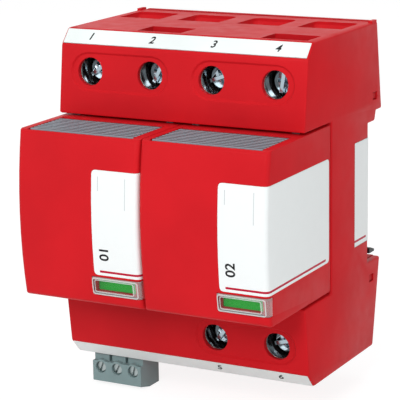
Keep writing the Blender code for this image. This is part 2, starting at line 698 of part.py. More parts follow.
def make_base_housing():
    housing = plate("base_housing", BASE_OUTLINE, BASE_WIDTH, "YZ")
    bevel(housing, BASE_ROUND)
    split_bent_faces(housing)
    boolean(housing, housing_inside())
    cover_seat = [((-INNER_HALF_WIDTH, TOP_REAR - COVER_LIP - GAP, INNER_HALF_HEIGHT - OVERCUT),
                   (INNER_HALF_WIDTH, FAR, HALF_HEIGHT + OVERCUT)),
                  ((-INNER_HALF_WIDTH, BOTTOM_REAR - COVER_LIP - GAP, -HALF_HEIGHT - OVERCUT),
                   (INNER_HALF_WIDTH, FAR, -INNER_HALF_HEIGHT + OVERCUT))]
    boolean(housing, boxes("cover_seat_cutter", cover_seat))
    blocks = []
    for x, side in both_blocks():
        low, high = signed((THROAT, INNER_HALF_HEIGHT + OVERCUT), side)
        half = FUNNEL_WIDTH / 2 + FUNNEL_WALL
        limit = UPPER_COVER_FRONT if side > 0 else COVER_FRONT
        rear = min(FUNNEL_FRONT + funnel_depth(side) + FUNNEL_WALL, limit - GAP)
        blocks.append(((x - half, FUNNEL_FRONT - FUNNEL_WALL, low), (x + half, rear, high)))
    boolean(housing, boxes("funnel_blocks", blocks), "UNION")
    ribs = []
    half = RIB_THICK / 2
    for edge, side in ((-WAY_WIDTH, 1), (0.0, 1), (WAY_WIDTH, 1), (0.0, -1), (WAY_WIDTH, -1)):
        low, high = signed((STRIP_CROSS_HIGH + GAP, INNER_HALF_HEIGHT + OVERCUT), side)
        ribs.append(((edge - half, CARRIER_BACK + GAP, low), (edge + half, COVER_FRONT - GAP, high)))
    boolean(housing, boxes("terminal_ribs", ribs), "UNION")
    tabs = []
    for sign in (-1, 1):
        left, right = sorted((sign * (HALF_WIDTH - STEP), sign * (HALF_WIDTH - CORNER_TAB_WIDTH)))
        tabs.append(((left, TOP_REAR - BASE_ROUND - CORNER_TAB_LENGTH, HALF_HEIGHT - BASE_WALL),
                     (right, TOP_REAR - BASE_ROUND, HALF_HEIGHT + CORNER_TAB_RISE)))
    boolean(housing, boxes("corner_tabs", tabs), "UNION")
    for x, side in both_blocks():
        boolean(housing, funnel_cutter(x, side))
    for centre, side in ((TERMINAL_X[0] + WAY_WIDTH / 2, 1), (TERMINAL_X[2] + WAY_WIDTH / 2, 1),
                         (TERMINAL_X[2] + WAY_WIDTH / 2, -1)):
        boolean(housing, pair_recess(centre, side))
    reach = face_depth(HALF_HEIGHT) - BLOCK_LIP + BASE_WALL + 2 * OVERCUT
    holes = [((x, BLOCK_LIP - OVERCUT, side * TERMINAL_HEIGHT), reach, SCREW_HOLE / 2, "Y")
             for x, side in both_blocks()]
    boolean(housing, rods("screw_hole_cutter", holes, 24))
    slots = comb_boxes(INNER_HALF_HEIGHT - OVERCUT, HALF_HEIGHT + OVERCUT)
    boolean(housing, boxes("comb_slot_cutter", slots))
    boolean(housing, strip_box("upper_strip_seat", MARK_THICK + GAP, OVERCUT, 0.0))
    boolean(housing, upside_down(strip_box("lower_strip_seat", MARK_THICK + GAP, OVERCUT, 0.0)))
    boolean(housing, boxes("bay_wall_cutter", bay_wall_slots()))
    plungers = [((x + PLUNGER_OFFSET, BAY_FLOOR - OVERCUT, SLIDER_HEIGHT), BASE_WALL + 2 * OVERCUT,
                 PLUNGER / 2 + GAP, "Y") for x in MODULE_X.values()]
    boolean(housing, rods("plunger_hole_cutter", plungers, 12))
    boolean(housing, boxes("catch_cutter", catch_pockets()))
    seat = side_label_box(LABEL_THICK + GAP, OVERCUT, EDGE_GAP)
    boolean(housing, boxes("side_label_seat", [seat]))
    boolean(housing, boxes("snap_window_cutter", snap_boxes(GAP, HALF_WIDTH + OVERCUT)))
    plug_hole = ((PLUG_LEFT - GAP, SOCKET_FRONT, -HALF_HEIGHT - OVERCUT),
                 (PLUG_RIGHT + GAP, PLUG_REAR + GAP, -INNER_HALF_HEIGHT + OVERCUT))
    boolean(housing, boxes("plug_hole_cutter", [plug_hole]))
    settle(housing)
    return keep(housing, (RED, 0.35))


def comb_boxes(low, high):
    """The slots for the prongs of a comb busbar, between two heights."""
    front = BLOCK_FACE + BEVEL_DEPTH + COMB_INSET
    half = COMB_WIDTH / 2
    return [((TERMINAL_X[i] - half, front, low), (TERMINAL_X[i] + half, front + COMB_DEPTH, high))
            for i in COMB_TERMINALS]


def bay_wall_slots():
    half = CONTACT_SIZE / 2 + SLIDE_GAP
    slots = []
    for x in MODULE_X.values():
        for height in (CONTACT_HEIGHT, -CONTACT_HEIGHT):
            slots.append(((x - BLADE_THICK / 2 - SLIDE_GAP, BAY_FLOOR - OVERCUT, height - half),
                          (x + BLADE_THICK / 2 + SLIDE_GAP, BAY_FLOOR + BASE_WALL + OVERCUT, height + half)))
    return slots


def catch_pockets():
    """Pockets in both blocks for the noses of the module keys."""
    pockets = []
    half = KEY_WIDTH / 2
    for x in MODULE_X.values():
        for sign in (-1, 1):
            for side in (-1, 1):
                left, right = sorted((x + sign * (half + GAP), x + sign * (half - KEY_ARM - GAP)))
                low, high = signed((BAY_HALF - OVERCUT, BAY_HALF + BASE_WALL / 2), side)
                front = KEY_ARM_REAR - KEY_NOSE - GAP
                pockets.append(((left, front, low), (right, KEY_ARM_REAR + GAP, high)))
    return pockets


def snap_boxes(margin, outer):
    """Snap windows through the side walls, or the cover's tabs in them when the margin is zero."""
    found = []
    for sign in (-1, 1):
        for y, z in (UPPER_TAB, LOWER_TAB):
            half_y, half_z = TAB_LENGTH / 2 + margin, TAB_HEIGHT / 2 + margin
            left, right = sorted((sign * (INNER_HALF_WIDTH - OVERCUT), sign * outer))
            found.append(((left, y - half_y, z - half_z), (right, y + half_y, z + half_z)))
    return found


# Rear cover with the rail recess, fixed hooks and latch guides
def make_rear_cover():
    front = [(TOP_REAR - COVER_LIP, HALF_HEIGHT + LIP_RISE), (TOP_REAR - COVER_LIP, INNER_HALF_HEIGHT - GAP),
             (UPPER_COVER_FRONT, INNER_HALF_HEIGHT - GAP), (UPPER_COVER_FRONT, UPPER_SHOULDER + CORE_RIB),
             (COVER_FRONT, UPPER_SHOULDER + CORE_RIB), (COVER_FRONT, -INNER_HALF_HEIGHT + GAP),
             (BOTTOM_REAR - COVER_LIP, -INNER_HALF_HEIGHT + GAP), (BOTTOM_REAR - COVER_LIP, -HALF_HEIGHT)]
    outline = front + REAR_EDGE[:-1] + [(TOP_REAR, HALF_HEIGHT + LIP_RISE)]
    half = INNER_HALF_WIDTH - GAP
    cover = plate("rear_cover", outline, 2 * half, "YZ")
    hook_low = RECESS_TOP - HOOK_REACH
    pad = ((-half + BASE_WALL, -SEAT_PROUD - OVERCUT, PAD_MARGIN - hook_low),
           (half - BASE_WALL, 0.0, hook_low - PAD_MARGIN))
    boolean(cover, boxes("seat_pad", [pad]), "UNION")
    near, top = RAIL_LIP + HOOK_CLEARANCE, RECESS_TOP + OVERCUT
    far = near + HOOK_THICK
    hook = [(near, hook_low + HOOK_LEAD), (far, hook_low), (far, top), (near, top)]
    for x in (-HOOK_CENTRE, HOOK_CENTRE):
        boolean(cover, plate("hook", hook, HOOK_WIDTH, "YZ", x), "UNION")
    boolean(cover, boxes("snap_tabs", snap_boxes(0.0, HALF_WIDTH - TAB_DEPTH)), "UNION")
    pockets = []
    for x in TERMINAL_X:
        for middle in (x - CORE_PITCH / 2, x + CORE_PITCH / 2):
            low_x = max(middle - CORE_WIDTH / 2, CORE_RIB - half)
            high_x = min(middle + CORE_WIDTH / 2, half - CORE_RIB)
            pockets.append(((low_x, CORE_FLOOR, UPPER_SHOULDER + 2 * CORE_RIB),
                            (high_x, FAR, HALF_HEIGHT - 3 * CORE_RIB)))
    boolean(cover, boxes("core_pockets", pockets))
    for x in (-LATCH_CENTRE, LATCH_CENTRE):
        cut_latch_groove(cover, x)
    settle(cover)
    return keep(cover, (DARK_RED, 0.4))


def cut_latch_groove(cover, x):
    """A groove for one latch, with lips that hold the latch in and a peg for its spring."""
    groove = LATCH_WIDTH / 2 + GAP
    floor = ((x - groove, 0.0, -HALF_HEIGHT - OVERCUT), (x + groove, FAR, LOWER_SHOULDER + OVERCUT))
    boolean(cover, boxes("latch_groove", [floor]))
    front = LATCH_BACK + GAP
    lips = []
    for edge in (-1, 1):
        left, right = sorted((x + edge * (groove - LATCH_LIP), x + edge * (groove + OVERCUT)))
        lips.append(((left, front, LATCH_LIP_BOTTOM), (right, front + LATCH_LIP_THICK, LATCH_LIP_TOP)))
    boolean(cover, boxes("latch_lips", lips), "UNION")
    top = SPRING_BOTTOM - GAP
    peg = ((x - PEG_WIDTH / 2, -OVERCUT, top - PEG_HEIGHT), (x + PEG_WIDTH / 2, LATCH_THICK, top))
    boolean(cover, boxes("spring_peg", [peg]), "UNION")


def make_rail_latches():
    """Sliding catches with a nose behind the rail, a window for the spring and a tool slot."""
    window_low, window_high = SPRING_BOTTOM - GAP - PEG_HEIGHT - GAP, SPRING_TOP + GAP
    for name, sign in (("left", -1), ("right", 1)):
        x = sign * LATCH_CENTRE
        half = LATCH_WIDTH / 2
        bar = ((x - half, GAP, LATCH_BOTTOM), (x + half, LATCH_BACK, LATCH_TOP - LATCH_SHOULDER))
        latch = boxes("rail_latch_" + name, [bar])
        low, near = LATCH_TOP - LATCH_NOSE_HEIGHT, RAIL_LIP + GAP
        nose = [(near, low), (LATCH_NOSE, low), (LATCH_NOSE, LATCH_TOP - LATCH_NOSE_LEAD),
                (near + LATCH_NOSE_LEAD, LATCH_TOP), (near, LATCH_TOP)]
        inner = x - sign * LATCH_WIDTH / 2
        outer = sign * (HALF_WIDTH - GAP)
        boolean(latch, plate("nose", nose, abs(outer - inner), "YZ", (inner + outer) / 2), "UNION")
        side = SPRING_RADIUS + SPRING_WIRE + SLIDE_GAP
        window = ((x - side, -OVERCUT, window_low), (x + side, LATCH_BACK + OVERCUT, window_high))
        slot_low = LATCH_BOTTOM + TOOL_SLOT_EDGE
        slot = ((x - TOOL_SLOT_WIDTH / 2, -OVERCUT, slot_low),
                (x + TOOL_SLOT_WIDTH / 2, LATCH_BACK + OVERCUT, slot_low + TOOL_SLOT_HEIGHT))
        boolean(latch, boxes("latch_window", [window, slot]))
        settle(latch)
        set_origin(latch, (x, GAP + LATCH_THICK / 2, LATCH_TOP))
        keep(latch, (BLACK, 0.35))
        make_spring("latch_spring_" + name, x)


def make_spring(name, x):
    """A compression spring along Z between the cover's peg and the latch."""
    curve = bpy.data.curves.new(name, "CURVE")
    curve.dimensions = "3D"
    curve.bevel_depth = SPRING_WIRE
    curve.bevel_resolution = 1
    curve.use_fill_caps = True
    spline = curve.splines.new("POLY")
    count = SPRING_TURNS * SPRING_FACETS
    low, high = SPRING_BOTTOM + SPRING_WIRE, SPRING_TOP - SPRING_WIRE
    spline.points.add(count)
    middle = GAP + LATCH_THICK / 2
    for i in range(count + 1):
        angle = 2 * math.pi * i / SPRING_FACETS
        across, deep = SPRING_RADIUS * math.cos(angle), SPRING_RADIUS * math.sin(angle)
        spline.points[i].co = (x + across, middle + deep, low + (high - low) * i / count, 1.0)
    drawn = bpy.data.objects.new(name, curve)
    bpy.context.scene.collection.objects.link(drawn)
    mesh = weld(plain_mesh(drawn))
    bpy.data.objects.remove(drawn)
    spring = bpy.data.objects.new(name, mesh)
    set_origin(spring, (x, middle, SPRING_BOTTOM))
    return keep(spring, (ZINC, 0.3, 1.0))


# Terminal carriers: black inner mouldings with the screw wells and cage guides
def carrier_outline(side):
    """The carrier's side outline: it follows the inside of the block's front."""
    block = [(CARRIER_BACK + BASE_WALL + GAP, HALF_HEIGHT)] + BLOCK_FRONT_UP
    block += [(CARRIER_BACK + BASE_WALL + GAP, BAY_HALF)]
    outline = inset(block, BASE_WALL + GAP)
    return outline if side > 0 else mirrored(outline)


def make_carrier(name, side, xs, low_x, high_x):
    carrier = plate(name, carrier_outline(side), high_x - low_x, "YZ", (low_x + high_x) / 2)
    height = side * TERMINAL_HEIGHT
    reach = HEAD_SEAT - BLOCK_LIP + OVERCUT
    wells = [((x, BLOCK_LIP - OVERCUT, height), reach, SCREW_HOLE / 2, "Y") for x in xs]
    boolean(carrier, rods("well_cutter", wells, 24))
    reach = POCKET_FRONT - HEAD_SEAT + 2 * OVERCUT
    shanks = [((x, HEAD_SEAT - OVERCUT, height), reach, SCREW_SHANK / 2 + GAP, "Y") for x in xs]
    boolean(carrier, rods("shank_cutter", shanks, 16))
    half_x, half_z = CAGE_WIDTH / 2 + GAP, CAGE_HEIGHT / 2 + GAP
    back = CARRIER_BACK + OVERCUT
    guides = [((x - half_x, POCKET_FRONT, height - half_z), (x + half_x, back, height + half_z)) for x in xs]
    boolean(carrier, boxes("guide_cutter", guides))
    if side > 0:
        boolean(carrier, boxes("comb_pocket_cutter", comb_boxes(COMB_FLOOR, HALF_HEIGHT)))
    settle(carrier)
    return keep(carrier, (BLACK, 0.2))


# Terminals
def turned(name, profile, steps=16):
    """A profile of (radius, height) points, from the top down, turned about Z."""
    bm = bmesh.new()
    verts = [bm.verts.new((radius, 0.0, height)) for radius, height in profile]
    for a, b in zip(verts, verts[1:]):
        bm.edges.new((a, b))
    piece = from_bmesh(name, bm)
    turn = piece.modifiers.new("turned", "SCREW")
    turn.axis = "Z"
    turn.steps = steps
    turn.render_steps = steps
    turn.use_merge_vertices = True
    turn.merge_threshold = 10 * NEAR
    return settle(piece)


def make_terminal_screw():
    """A combination-head screw lying along Y: a turned head and shank with a cross and a slot."""
    head, shank, cut, end = SCREW_HEAD / 2, SCREW_SHANK / 2, SCREW_CHAMFER, STRIP_FRONT - GAP
    profile = [(0.0, -HEAD_FRONT), (head - cut, -HEAD_FRONT), (head, -HEAD_FRONT - cut), (head, -HEAD_BACK),
               (shank, -HEAD_BACK), (shank, cut - end), (shank - cut, -end), (0.0, -end)]
    screw = turned("terminal_screw", profile)
    screw.data.transform(Matrix.Rotation(math.pi / 2, 4, "X"))
    length, half = DRIVE_LENGTH / 2, DRIVE_WIDTH / 2
    slot = ((-length, HEAD_FRONT - OVERCUT, -half), (length, HEAD_FRONT + DRIVE_DEPTH, half))
    length = CROSS_LENGTH / 2
    cross = ((-half, HEAD_FRONT - OVERCUT, -length), (half, HEAD_FRONT + CROSS_DEPTH, length))
    boolean(screw, boxes("slot_cutter", [slot]))
    boolean(screw, boxes("cross_cutter", [cross]))
    return settle(screw)


def make_terminal_cage():
    """A rectangular lift cage: a tapped front wall, two sides and a rear wall that lifts the wire."""
    half_x, half_z = CAGE_WIDTH / 2, CAGE_HEIGHT / 2
    cage = boxes("terminal_cage", [((-half_x, CAGE_FRONT, -half_z), (half_x, CAGE_REAR, half_z))])
    bevel(cage, CAGE_BEVEL, 1)
    window = ((-half_x + CAGE_SIDE, CAGE_FRONT + CAGE_NUT, -half_z - OVERCUT),
              (half_x - CAGE_SIDE, CAGE_REAR - CAGE_REAR_WALL, half_z + OVERCUT))
    boolean(cage, boxes("cage_window", [window]))
    hole = ((0, CAGE_FRONT - OVERCUT, 0), CAGE_NUT + 2 * OVERCUT, SCREW_SHANK / 2 + GAP, "Y")
    boolean(cage, rods("tapped_hole", [hole], 12))
    return settle(cage)


def make_terminals():
    screw, cage = make_terminal_screw(), make_terminal_cage()
    for number, (x, side) in enumerate(both_blocks(), start=1):
        for source, kind, finish in ((screw, "terminal_screw", (ZINC, 0.25, 1.0)),
                                     (cage, "terminal_cage", (ZINC, 0.35, 1.0))):
            piece = bpy.data.objects.new(f"{kind}_{number}", source.data.copy())
            piece.location = (x, 0.0, side * TERMINAL_HEIGHT)
            keep(piece, finish)
    bpy.data.objects.remove(screw)
    bpy.data.objects.remove(cage)


# Busbars and spring contacts
def busbar_outline(xs, stems):
    """Tongues up into the cages, a strip across, and a web down to the module contacts."""
    top, foot = TERMINAL_HEIGHT + CAGE_HEIGHT / 2 - GAP, CONTACT_HEIGHT - CONTACT_SIZE / 2
    half, stem = STRIP_TONGUE / 2, STEM_WIDTH / 2
    points = []
    if xs[0] - half < stems[0] - stem:
        points.append((xs[0] - half, STRIP_CROSS_LOW))
    left, right = stems[0] - stem, stems[-1] + stem
    points += [(left, STRIP_CROSS_LOW), (left, foot), (right, foot), (right, STRIP_CROSS_LOW)]
    if xs[-1] + half > right:
        points.append((xs[-1] + half, STRIP_CROSS_LOW))
    for x in reversed(xs):
        left, right = x - half, x + half
        points += [(right, STRIP_CROSS_HIGH), (right, top), (left, top), (left, STRIP_CROSS_HIGH)]
    if xs[0] - half > stems[0] - stem:
        points.append((stems[0] - stem, STRIP_CROSS_HIGH))
    count = len(points)
    return [p for i, p in enumerate(points) if not straight(points[i - 1], p, points[(i + 1) % count])]


def straight(a, b, c):
    """True where b lies on the line from a to c."""
    return abs((b[0] - a[0]) * (c[1] - b[1]) - (b[1] - a[1]) * (c[0] - b[0])) < NEAR ** 2


def make_busbars():
    middle = (STRIP_FRONT + STRIP_BACK) / 2
    layouts = (("line_busbar", TERMINAL_X[:2], [MODULE_X["a"]], 1),
               ("neutral_busbar", TERMINAL_X[2:], [MODULE_X["b"]], 1),
               ("earth_busbar", TERMINAL_X[2:], [MODULE_X["a"], MODULE_X["b"]], -1))
    for name, xs, stems, side in layouts:
        outline = busbar_outline(xs, stems)
        if side < 0:
            outline = mirrored(outline)
        keep(plate(name, outline, STRIP_THICK, "XZ", middle), (COPPER, 0.3, 1.0))


def contact_outline():
    """A fork seen from above: a flat base and two leaves with a waist that grips the blade."""
    waist, outer = BLADE_THICK / 2 + GAP, CONTACT_HALF
    heel = CONTACT_BACK - CONTACT_BASE
    bend, throat = heel - CONTACT_FLARE, CONTACT_FRONT + CONTACT_MOUTH
    right = [(outer, CONTACT_BACK), (outer, bend), (waist + CONTACT_LEAF, throat),
             (waist + CONTACT_LEAF + CONTACT_FLARE, CONTACT_FRONT), (waist + CONTACT_FLARE, CONTACT_FRONT),
             (waist, throat), (outer - CONTACT_LEAF, bend), (outer - CONTACT_LEAF, heel)]
    return right + [(-x, y) for x, y in reversed(right)]


def make_contacts():
    layouts = (("line_contact", "a", 1), ("neutral_contact", "b", 1),
               ("left_earth_contact", "a", -1), ("right_earth_contact", "b", -1))
    for name, module, side in layouts:
        contact = plate(name, contact_outline(), CONTACT_SIZE, "XY")
        contact.location = (MODULE_X[module], 0.0, side * CONTACT_HEIGHT)
        keep(contact, (COPPER, 0.25, 1.0))


# Marking strips and side label
def side_label_box(depth, proud, margin):
    low, high = SIDE_LABEL_LOW, SIDE_LABEL_HIGH
    return ((HALF_WIDTH - depth, low[0] - margin, low[1] - margin),
            (HALF_WIDTH + proud, high[0] + margin, high[1] + margin))


def make_labels():
    keep(strip_box("upper_marking_strip", MARK_THICK, 0.0, 2 * EDGE_GAP), (WHITE, 0.45))
    keep(upside_down(strip_box("lower_marking_strip", MARK_THICK, 0.0, 2 * EDGE_GAP)), (WHITE, 0.45))
    keep(boxes("side_label", [side_label_box(LABEL_THICK, 0.0, 0.0)]), (WHITE, 0.4))


# Remote signal contact: header in the base, plug with its screws and clamps
def make_signal_header():
    wall, top = HEADER_WALL, PLUG_TONGUE_TOP + HEADER_ROOF
    body = ((PLUG_LEFT - GAP - wall, SOCKET_FRONT - wall, HEADER_BOTTOM),
            (PLUG_RIGHT + GAP + wall, PLUG_REAR + GAP + wall, top))
    header = boxes("signal_header", [body])
    socket = ((PLUG_LEFT - GAP, SOCKET_FRONT, HEADER_BOTTOM - OVERCUT),
              (PLUG_RIGHT + GAP, PLUG_REAR + GAP, PLUG_TONGUE_TOP + GAP))
    boolean(header, boxes("header_socket", [socket]))
    boolean(header, boxes("header_pins", pin_boxes(PIN / 2, PIN_END, top - OVERCUT)), "UNION")
    settle(header)
    return keep(header, (GREY, 0.5))


def pin_boxes(half, low, high):
    return [((x - half, PIN_DEPTH - half, low), (x + half, PIN_DEPTH + half, high)) for x in POLE_X]


def make_signal_plug():
    """The plug: a tongue in the header, and a ledge with three screws over the wire entries."""
    tongue_front = SOCKET_FRONT + GAP
    outline = [(PLUG_FRONT, PLUG_FACE_BOTTOM), (PLUG_SLOPE_END, PLUG_BOTTOM), (PLUG_REAR, PLUG_BOTTOM),
               (PLUG_REAR, PLUG_TONGUE_TOP), (tongue_front, PLUG_TONGUE_TOP), (tongue_front, PLUG_LEDGE),
               (PLUG_FRONT, PLUG_LEDGE)]
    plug = plate("signal_plug", outline, 2 * PLUG_HALF_WIDTH, "YZ", PLUG_CENTRE)
    bosses = [((x, PLUG_FRONT, PLUG_SCREW_HEIGHT), PLUG_BOSS / 2, PLUG_BOSS / 2, "Y") for x in POLE_X]
    boolean(plug, rods("screw_bosses", bosses, 16), "UNION")
    grooves = []
    for a, b in zip(POLE_X, POLE_X[1:]):
        left, right = (a + b - PLUG_GROOVE) / 2, (a + b + PLUG_GROOVE) / 2
        grooves.append(((left, tongue_front - OVERCUT, PLUG_LEDGE),
                        (right, tongue_front + PLUG_GROOVE_DEPTH, PLUG_GROOVE_TOP)))
    boolean(plug, boxes("pole_grooves", grooves))
    radius = PLUG_SCREW / 2 + GAP / 2
    wells = [((x, PLUG_FRONT - OVERCUT, PLUG_SCREW_HEIGHT), OVERCUT + PLUG_WELL, radius, "Y") for x in POLE_X]
    boolean(plug, rods("plug_wells", wells, 14))
    half, front, rear = WIRE_ENTRY / 2, PLUG_FRONT + PLUG_FRONT_WALL, PLUG_REAR - PLUG_REAR_WALL
    low, high = PLUG_BOTTOM - OVERCUT, PLUG_LEDGE + OVERCUT
    chambers = [((x - half, front, low), (x + half, rear, high)) for x in POLE_X]
    boolean(plug, boxes("wire_chambers", chambers))
    boolean(plug, boxes("pin_sockets", pin_boxes(PIN / 2 + GAP, PLUG_LEDGE, PLUG_TONGUE_TOP + OVERCUT)))
    settle(plug)
    set_origin(plug, (PLUG_CENTRE, PLUG_FRONT, -HALF_HEIGHT))
    keep(plug, (GREY, 0.45))
    for number, x in enumerate(POLE_X, start=1):
        make_plug_screw(number, x)
        make_plug_clamp(number, x)


def make_plug_screw(number, x):
    front, back = PLUG_FRONT + PLUG_SCREW_SUNK, PLUG_FRONT + PLUG_SCREW_SUNK + PLUG_SCREW_HEAD
    head = ((0, front, 0), PLUG_SCREW_HEAD, PLUG_SCREW / 2, "Y")
    screw = rods(f"plug_screw_{number}", [head], 14)
    overlap = PLUG_SCREW_HEAD / 2
    shank = ((0, back - overlap, 0), PLUG_SCREW_REACH + overlap, PLUG_SCREW_SHANK / 2, "Y")
    boolean(screw, rods("plug_shank", [shank], 10), "UNION")
    half, floor = PLUG_DRIVE_WIDTH / 2, front + PLUG_DRIVE_DEPTH
    slot = boxes("plug_slot", [((-PLUG_SCREW, front - OVERCUT, -half), (PLUG_SCREW, floor, half))])
    slot.data.transform(Matrix.Rotation(math.radians(70), 4, "Y"))
    boolean(screw, slot)
    settle(screw)
    screw.location = (x, 0.0, PLUG_SCREW_HEIGHT)
    return keep(screw, (ZINC, 0.3, 1.0))


def make_plug_clamp(number, x):
    """A small lift cage around the wire space of one pole."""
    half_x, half_z = WIRE_ENTRY / 2 - GAP, PLUG_CLAMP_HEIGHT / 2
    front = PLUG_FRONT + PLUG_FRONT_WALL + PLUG_CLAMP_TRAVEL + GAP
    rear = PLUG_REAR - PLUG_REAR_WALL - GAP
    clamp = boxes(f"plug_clamp_{number}", [((-half_x, front, -half_z), (half_x, rear, half_z))])
    window = ((PLUG_CLAMP_SIDE - half_x, front + PLUG_CLAMP_NUT, -half_z - OVERCUT),
              (half_x - PLUG_CLAMP_SIDE, rear - PLUG_CLAMP_REAR, half_z + OVERCUT))
    boolean(clamp, boxes("clamp_window", [window]))
    hole = ((0, front - OVERCUT, 0), PLUG_CLAMP_NUT + 2 * OVERCUT, PLUG_SCREW_SHANK / 2 + STEP, "Y")
    boolean(clamp, rods("clamp_hole", [hole], 10))
    settle(clamp)
    clamp.location = (x, 0.0, PLUG_SCREW_HEIGHT)
    return keep(clamp, (ZINC, 0.35, 1.0))


def make_signal_slider():
    """The bar that both modules push back, with a leg down to the switch's button."""
    low, high = SLIDER_HEIGHT - SLIDER_SIZE / 2, SLIDER_HEIGHT + SLIDER_SIZE / 2
    back = SLIDER_FRONT + SLIDER_THICK
    slider = boxes("signal_slider", [((SLIDER_LEFT, SLIDER_FRONT, low), (SLIDER_RIGHT, back, high))])
    leg = ((SLIDER_LEFT, SLIDER_FRONT, SLIDER_LEG_END), (SLIDER_LEFT + SLIDER_LEG, back, SLIDER_HEIGHT))
    boolean(slider, boxes("slider_leg", [leg]), "UNION")
    tip = MODULE_REAR - PLUNGER_REACH
    reach = SLIDER_FRONT - tip + SLIDER_THICK / 2
    centres = [x + PLUNGER_OFFSET for x in MODULE_X.values()]
    plungers = [((x, tip, SLIDER_HEIGHT), reach, PLUNGER / 2, "Y") for x in centres]
    boolean(slider, rods("plungers", plungers, 10), "UNION")
    settle(slider)
    return keep(slider, (GREY, 0.5))


def make_signal_switch():
    """A small switch against the side wall, its button behind the slider's leg."""
    button_front = SLIDER_FRONT + SLIDER_THICK + SLIDER_TRAVEL + GAP
    front = button_front + BUTTON_PROUD
    right, back = SWITCH_LEFT + SWITCH_WIDTH, front + SWITCH_DEPTH
    body = ((SWITCH_LEFT, front, SWITCH_BOTTOM), (right, back, SWITCH_TOP))
    switch = boxes("signal_switch", [body])
    bevel(switch, SWITCH_BEVEL, 1)
    left, low = SLIDER_LEFT + (SLIDER_LEG - BUTTON_WIDTH) / 2, SLIDER_LEG_END
    button = ((left, button_front, low), (left + BUTTON_WIDTH, front + OVERCUT, low + BUTTON_HEIGHT))
    boolean(switch, boxes("switch_button", [button]), "UNION")
    settle(switch)
    return keep(switch, (BLACK, 0.4))


# Plug-in module, made once about its own middle and used twice
def module_body(name, shrink=0.0):
    """The module's outer form, with its bulging front and round front corners."""
    half = MODULE_HALF_HEIGHT - shrink
    side = MODULE_HALF_WIDTH - shrink
    radius = (MODULE_HALF_HEIGHT ** 2 + MODULE_BULGE ** 2) / (2 * MODULE_BULGE) - shrink
    centre = MODULE_FRONT - MODULE_BULGE + shrink + radius
    sweep = math.degrees(math.asin(half / radius))
    curve = arc((centre, 0.0), radius, 180 - sweep, 180 + sweep, 8)
    outline = curve + [(MODULE_REAR, -half), (MODULE_REAR, half)]
    body = plate(name, outline, 2 * side, "YZ")
    bm = bmesh.new()
    bm.from_mesh(body.data)
    reach = MODULE_FRONT + shrink + CORNER_ROUND / 4
    corners = [edge for edge in bm.edges if edge.calc_face_angle(0.0) > 1.0
               and all(abs(abs(v.co.x) - side) < NEAR and v.co.y < reach for v in edge.verts)]
    radius = CORNER_ROUND - min(shrink, CORNER_ROUND / 2)
    bmesh.ops.bevel(bm, geom=corners, offset=radius, segments=3, profile=0.5, affect="EDGES")
    bm.to_mesh(body.data)
    bm.free()
    return body


def region(name, left, rear, low, high, radius, right=FAR):
    """A box over the right front corner, with rounded ends, that marks out a label or window."""
    bm = bmesh.new()
    corner_low, corner_high = Vector((left, MODULE_FRONT - FAR, low)), Vector((right, rear, high))
    place = Matrix.Translation((corner_low + corner_high) / 2)
    bmesh.ops.create_cube(bm, size=1.0, matrix=place @ Matrix.Diagonal((*(corner_high - corner_low), 1.0)))
    if radius > 0:
        level = [e for e in bm.edges if abs(e.verts[0].co.z - e.verts[1].co.z) < NEAR]
        ends = [e for e in level if all(abs(v.co.x - left) < NEAR for v in e.verts)
                or all(abs(v.co.y - rear) < NEAR for v in e.verts)]
        bmesh.ops.bevel(bm, geom=ends, offset=radius, segments=3, profile=0.5, affect="EDGES")
    return from_bmesh(name, bm)


def skin(name, area, outer, inner):
    """A layer of the module's front and side, inside an area, between two depths."""
    boolean(area, module_body(name + "_outer", -outer), "INTERSECT")
    boolean(area, module_body(name + "_inner", inner))
    area.name = name
    return settle(area)


def label_area(name, margin):
    low, high = LABEL_BOTTOM + margin, LABEL_TOP - margin
    return region(name, LABEL_LEFT + margin, LABEL_REAR - margin, low, high, LABEL_ROUND)


def window_area(name, margin):
    low, high = WINDOW_BOTTOM + margin, WINDOW_TOP - margin
    right = MODULE_HALF_WIDTH if margin > 0 else FAR
    return region(name, WINDOW_LEFT + margin, WINDOW_REAR - margin, low, high, 0.0, right)


def make_module_housing():
    housing = module_body("module_housing")
    bevel(housing, MODULE_ROUND, 2, 40.0)
    inside = ((-MODULE_INNER_WIDTH, FRONT_WALL_BACK, -MODULE_INNER_HEIGHT),
              (MODULE_INNER_WIDTH, FAR, MODULE_INNER_HEIGHT))
    boolean(housing, boxes("module_inside", [inside]))
    openings = []
    half = KEY_WIDTH / 2
    for side in (-1, 1):
        low, high = signed((MODULE_INNER_HEIGHT - KEY_TRAVEL - GAP, MODULE_HALF_HEIGHT + OVERCUT), side)
        openings.append(((-half - GAP, KEY_FRONT - GAP, low), (half + GAP, KEY_REAR + GAP, high)))
    boolean(housing, boxes("key_openings", openings))
    noses = []
    for side in (-1, 1):
        low, high = signed((MODULE_INNER_HEIGHT - OVERCUT, MODULE_HALF_HEIGHT + OVERCUT), side)
        for sign in (-1, 1):
            left, right = sorted((sign * (half - KEY_ARM - GAP), sign * (half + GAP)))
            noses.append(((left, KEY_ARM_REAR - KEY_NOSE - GAP, low), (right, KEY_ARM_REAR + GAP, high)))
    boolean(housing, boxes("nose_slots", noses))
    boolean(housing, skin("label_seat", label_area("label_area", -EDGE_GAP), OVERCUT, LABEL_THICK + GAP))
    boolean(housing, skin("window_seat", window_area("window_area", -EDGE_GAP), OVERCUT, WINDOW_SEAT + GAP))
    flag_hole = ((FLAG_HOLE_LEFT, 2 * MODULE_FRONT, WINDOW_BOTTOM + FLAG_HOLE_MARGIN),
                 (FLAG_HOLE_RIGHT, FRONT_WALL_BACK + OVERCUT, WINDOW_TOP - FLAG_HOLE_MARGIN))
    boolean(housing, boxes("flag_hole", [flag_hole]))
    return settle(housing)


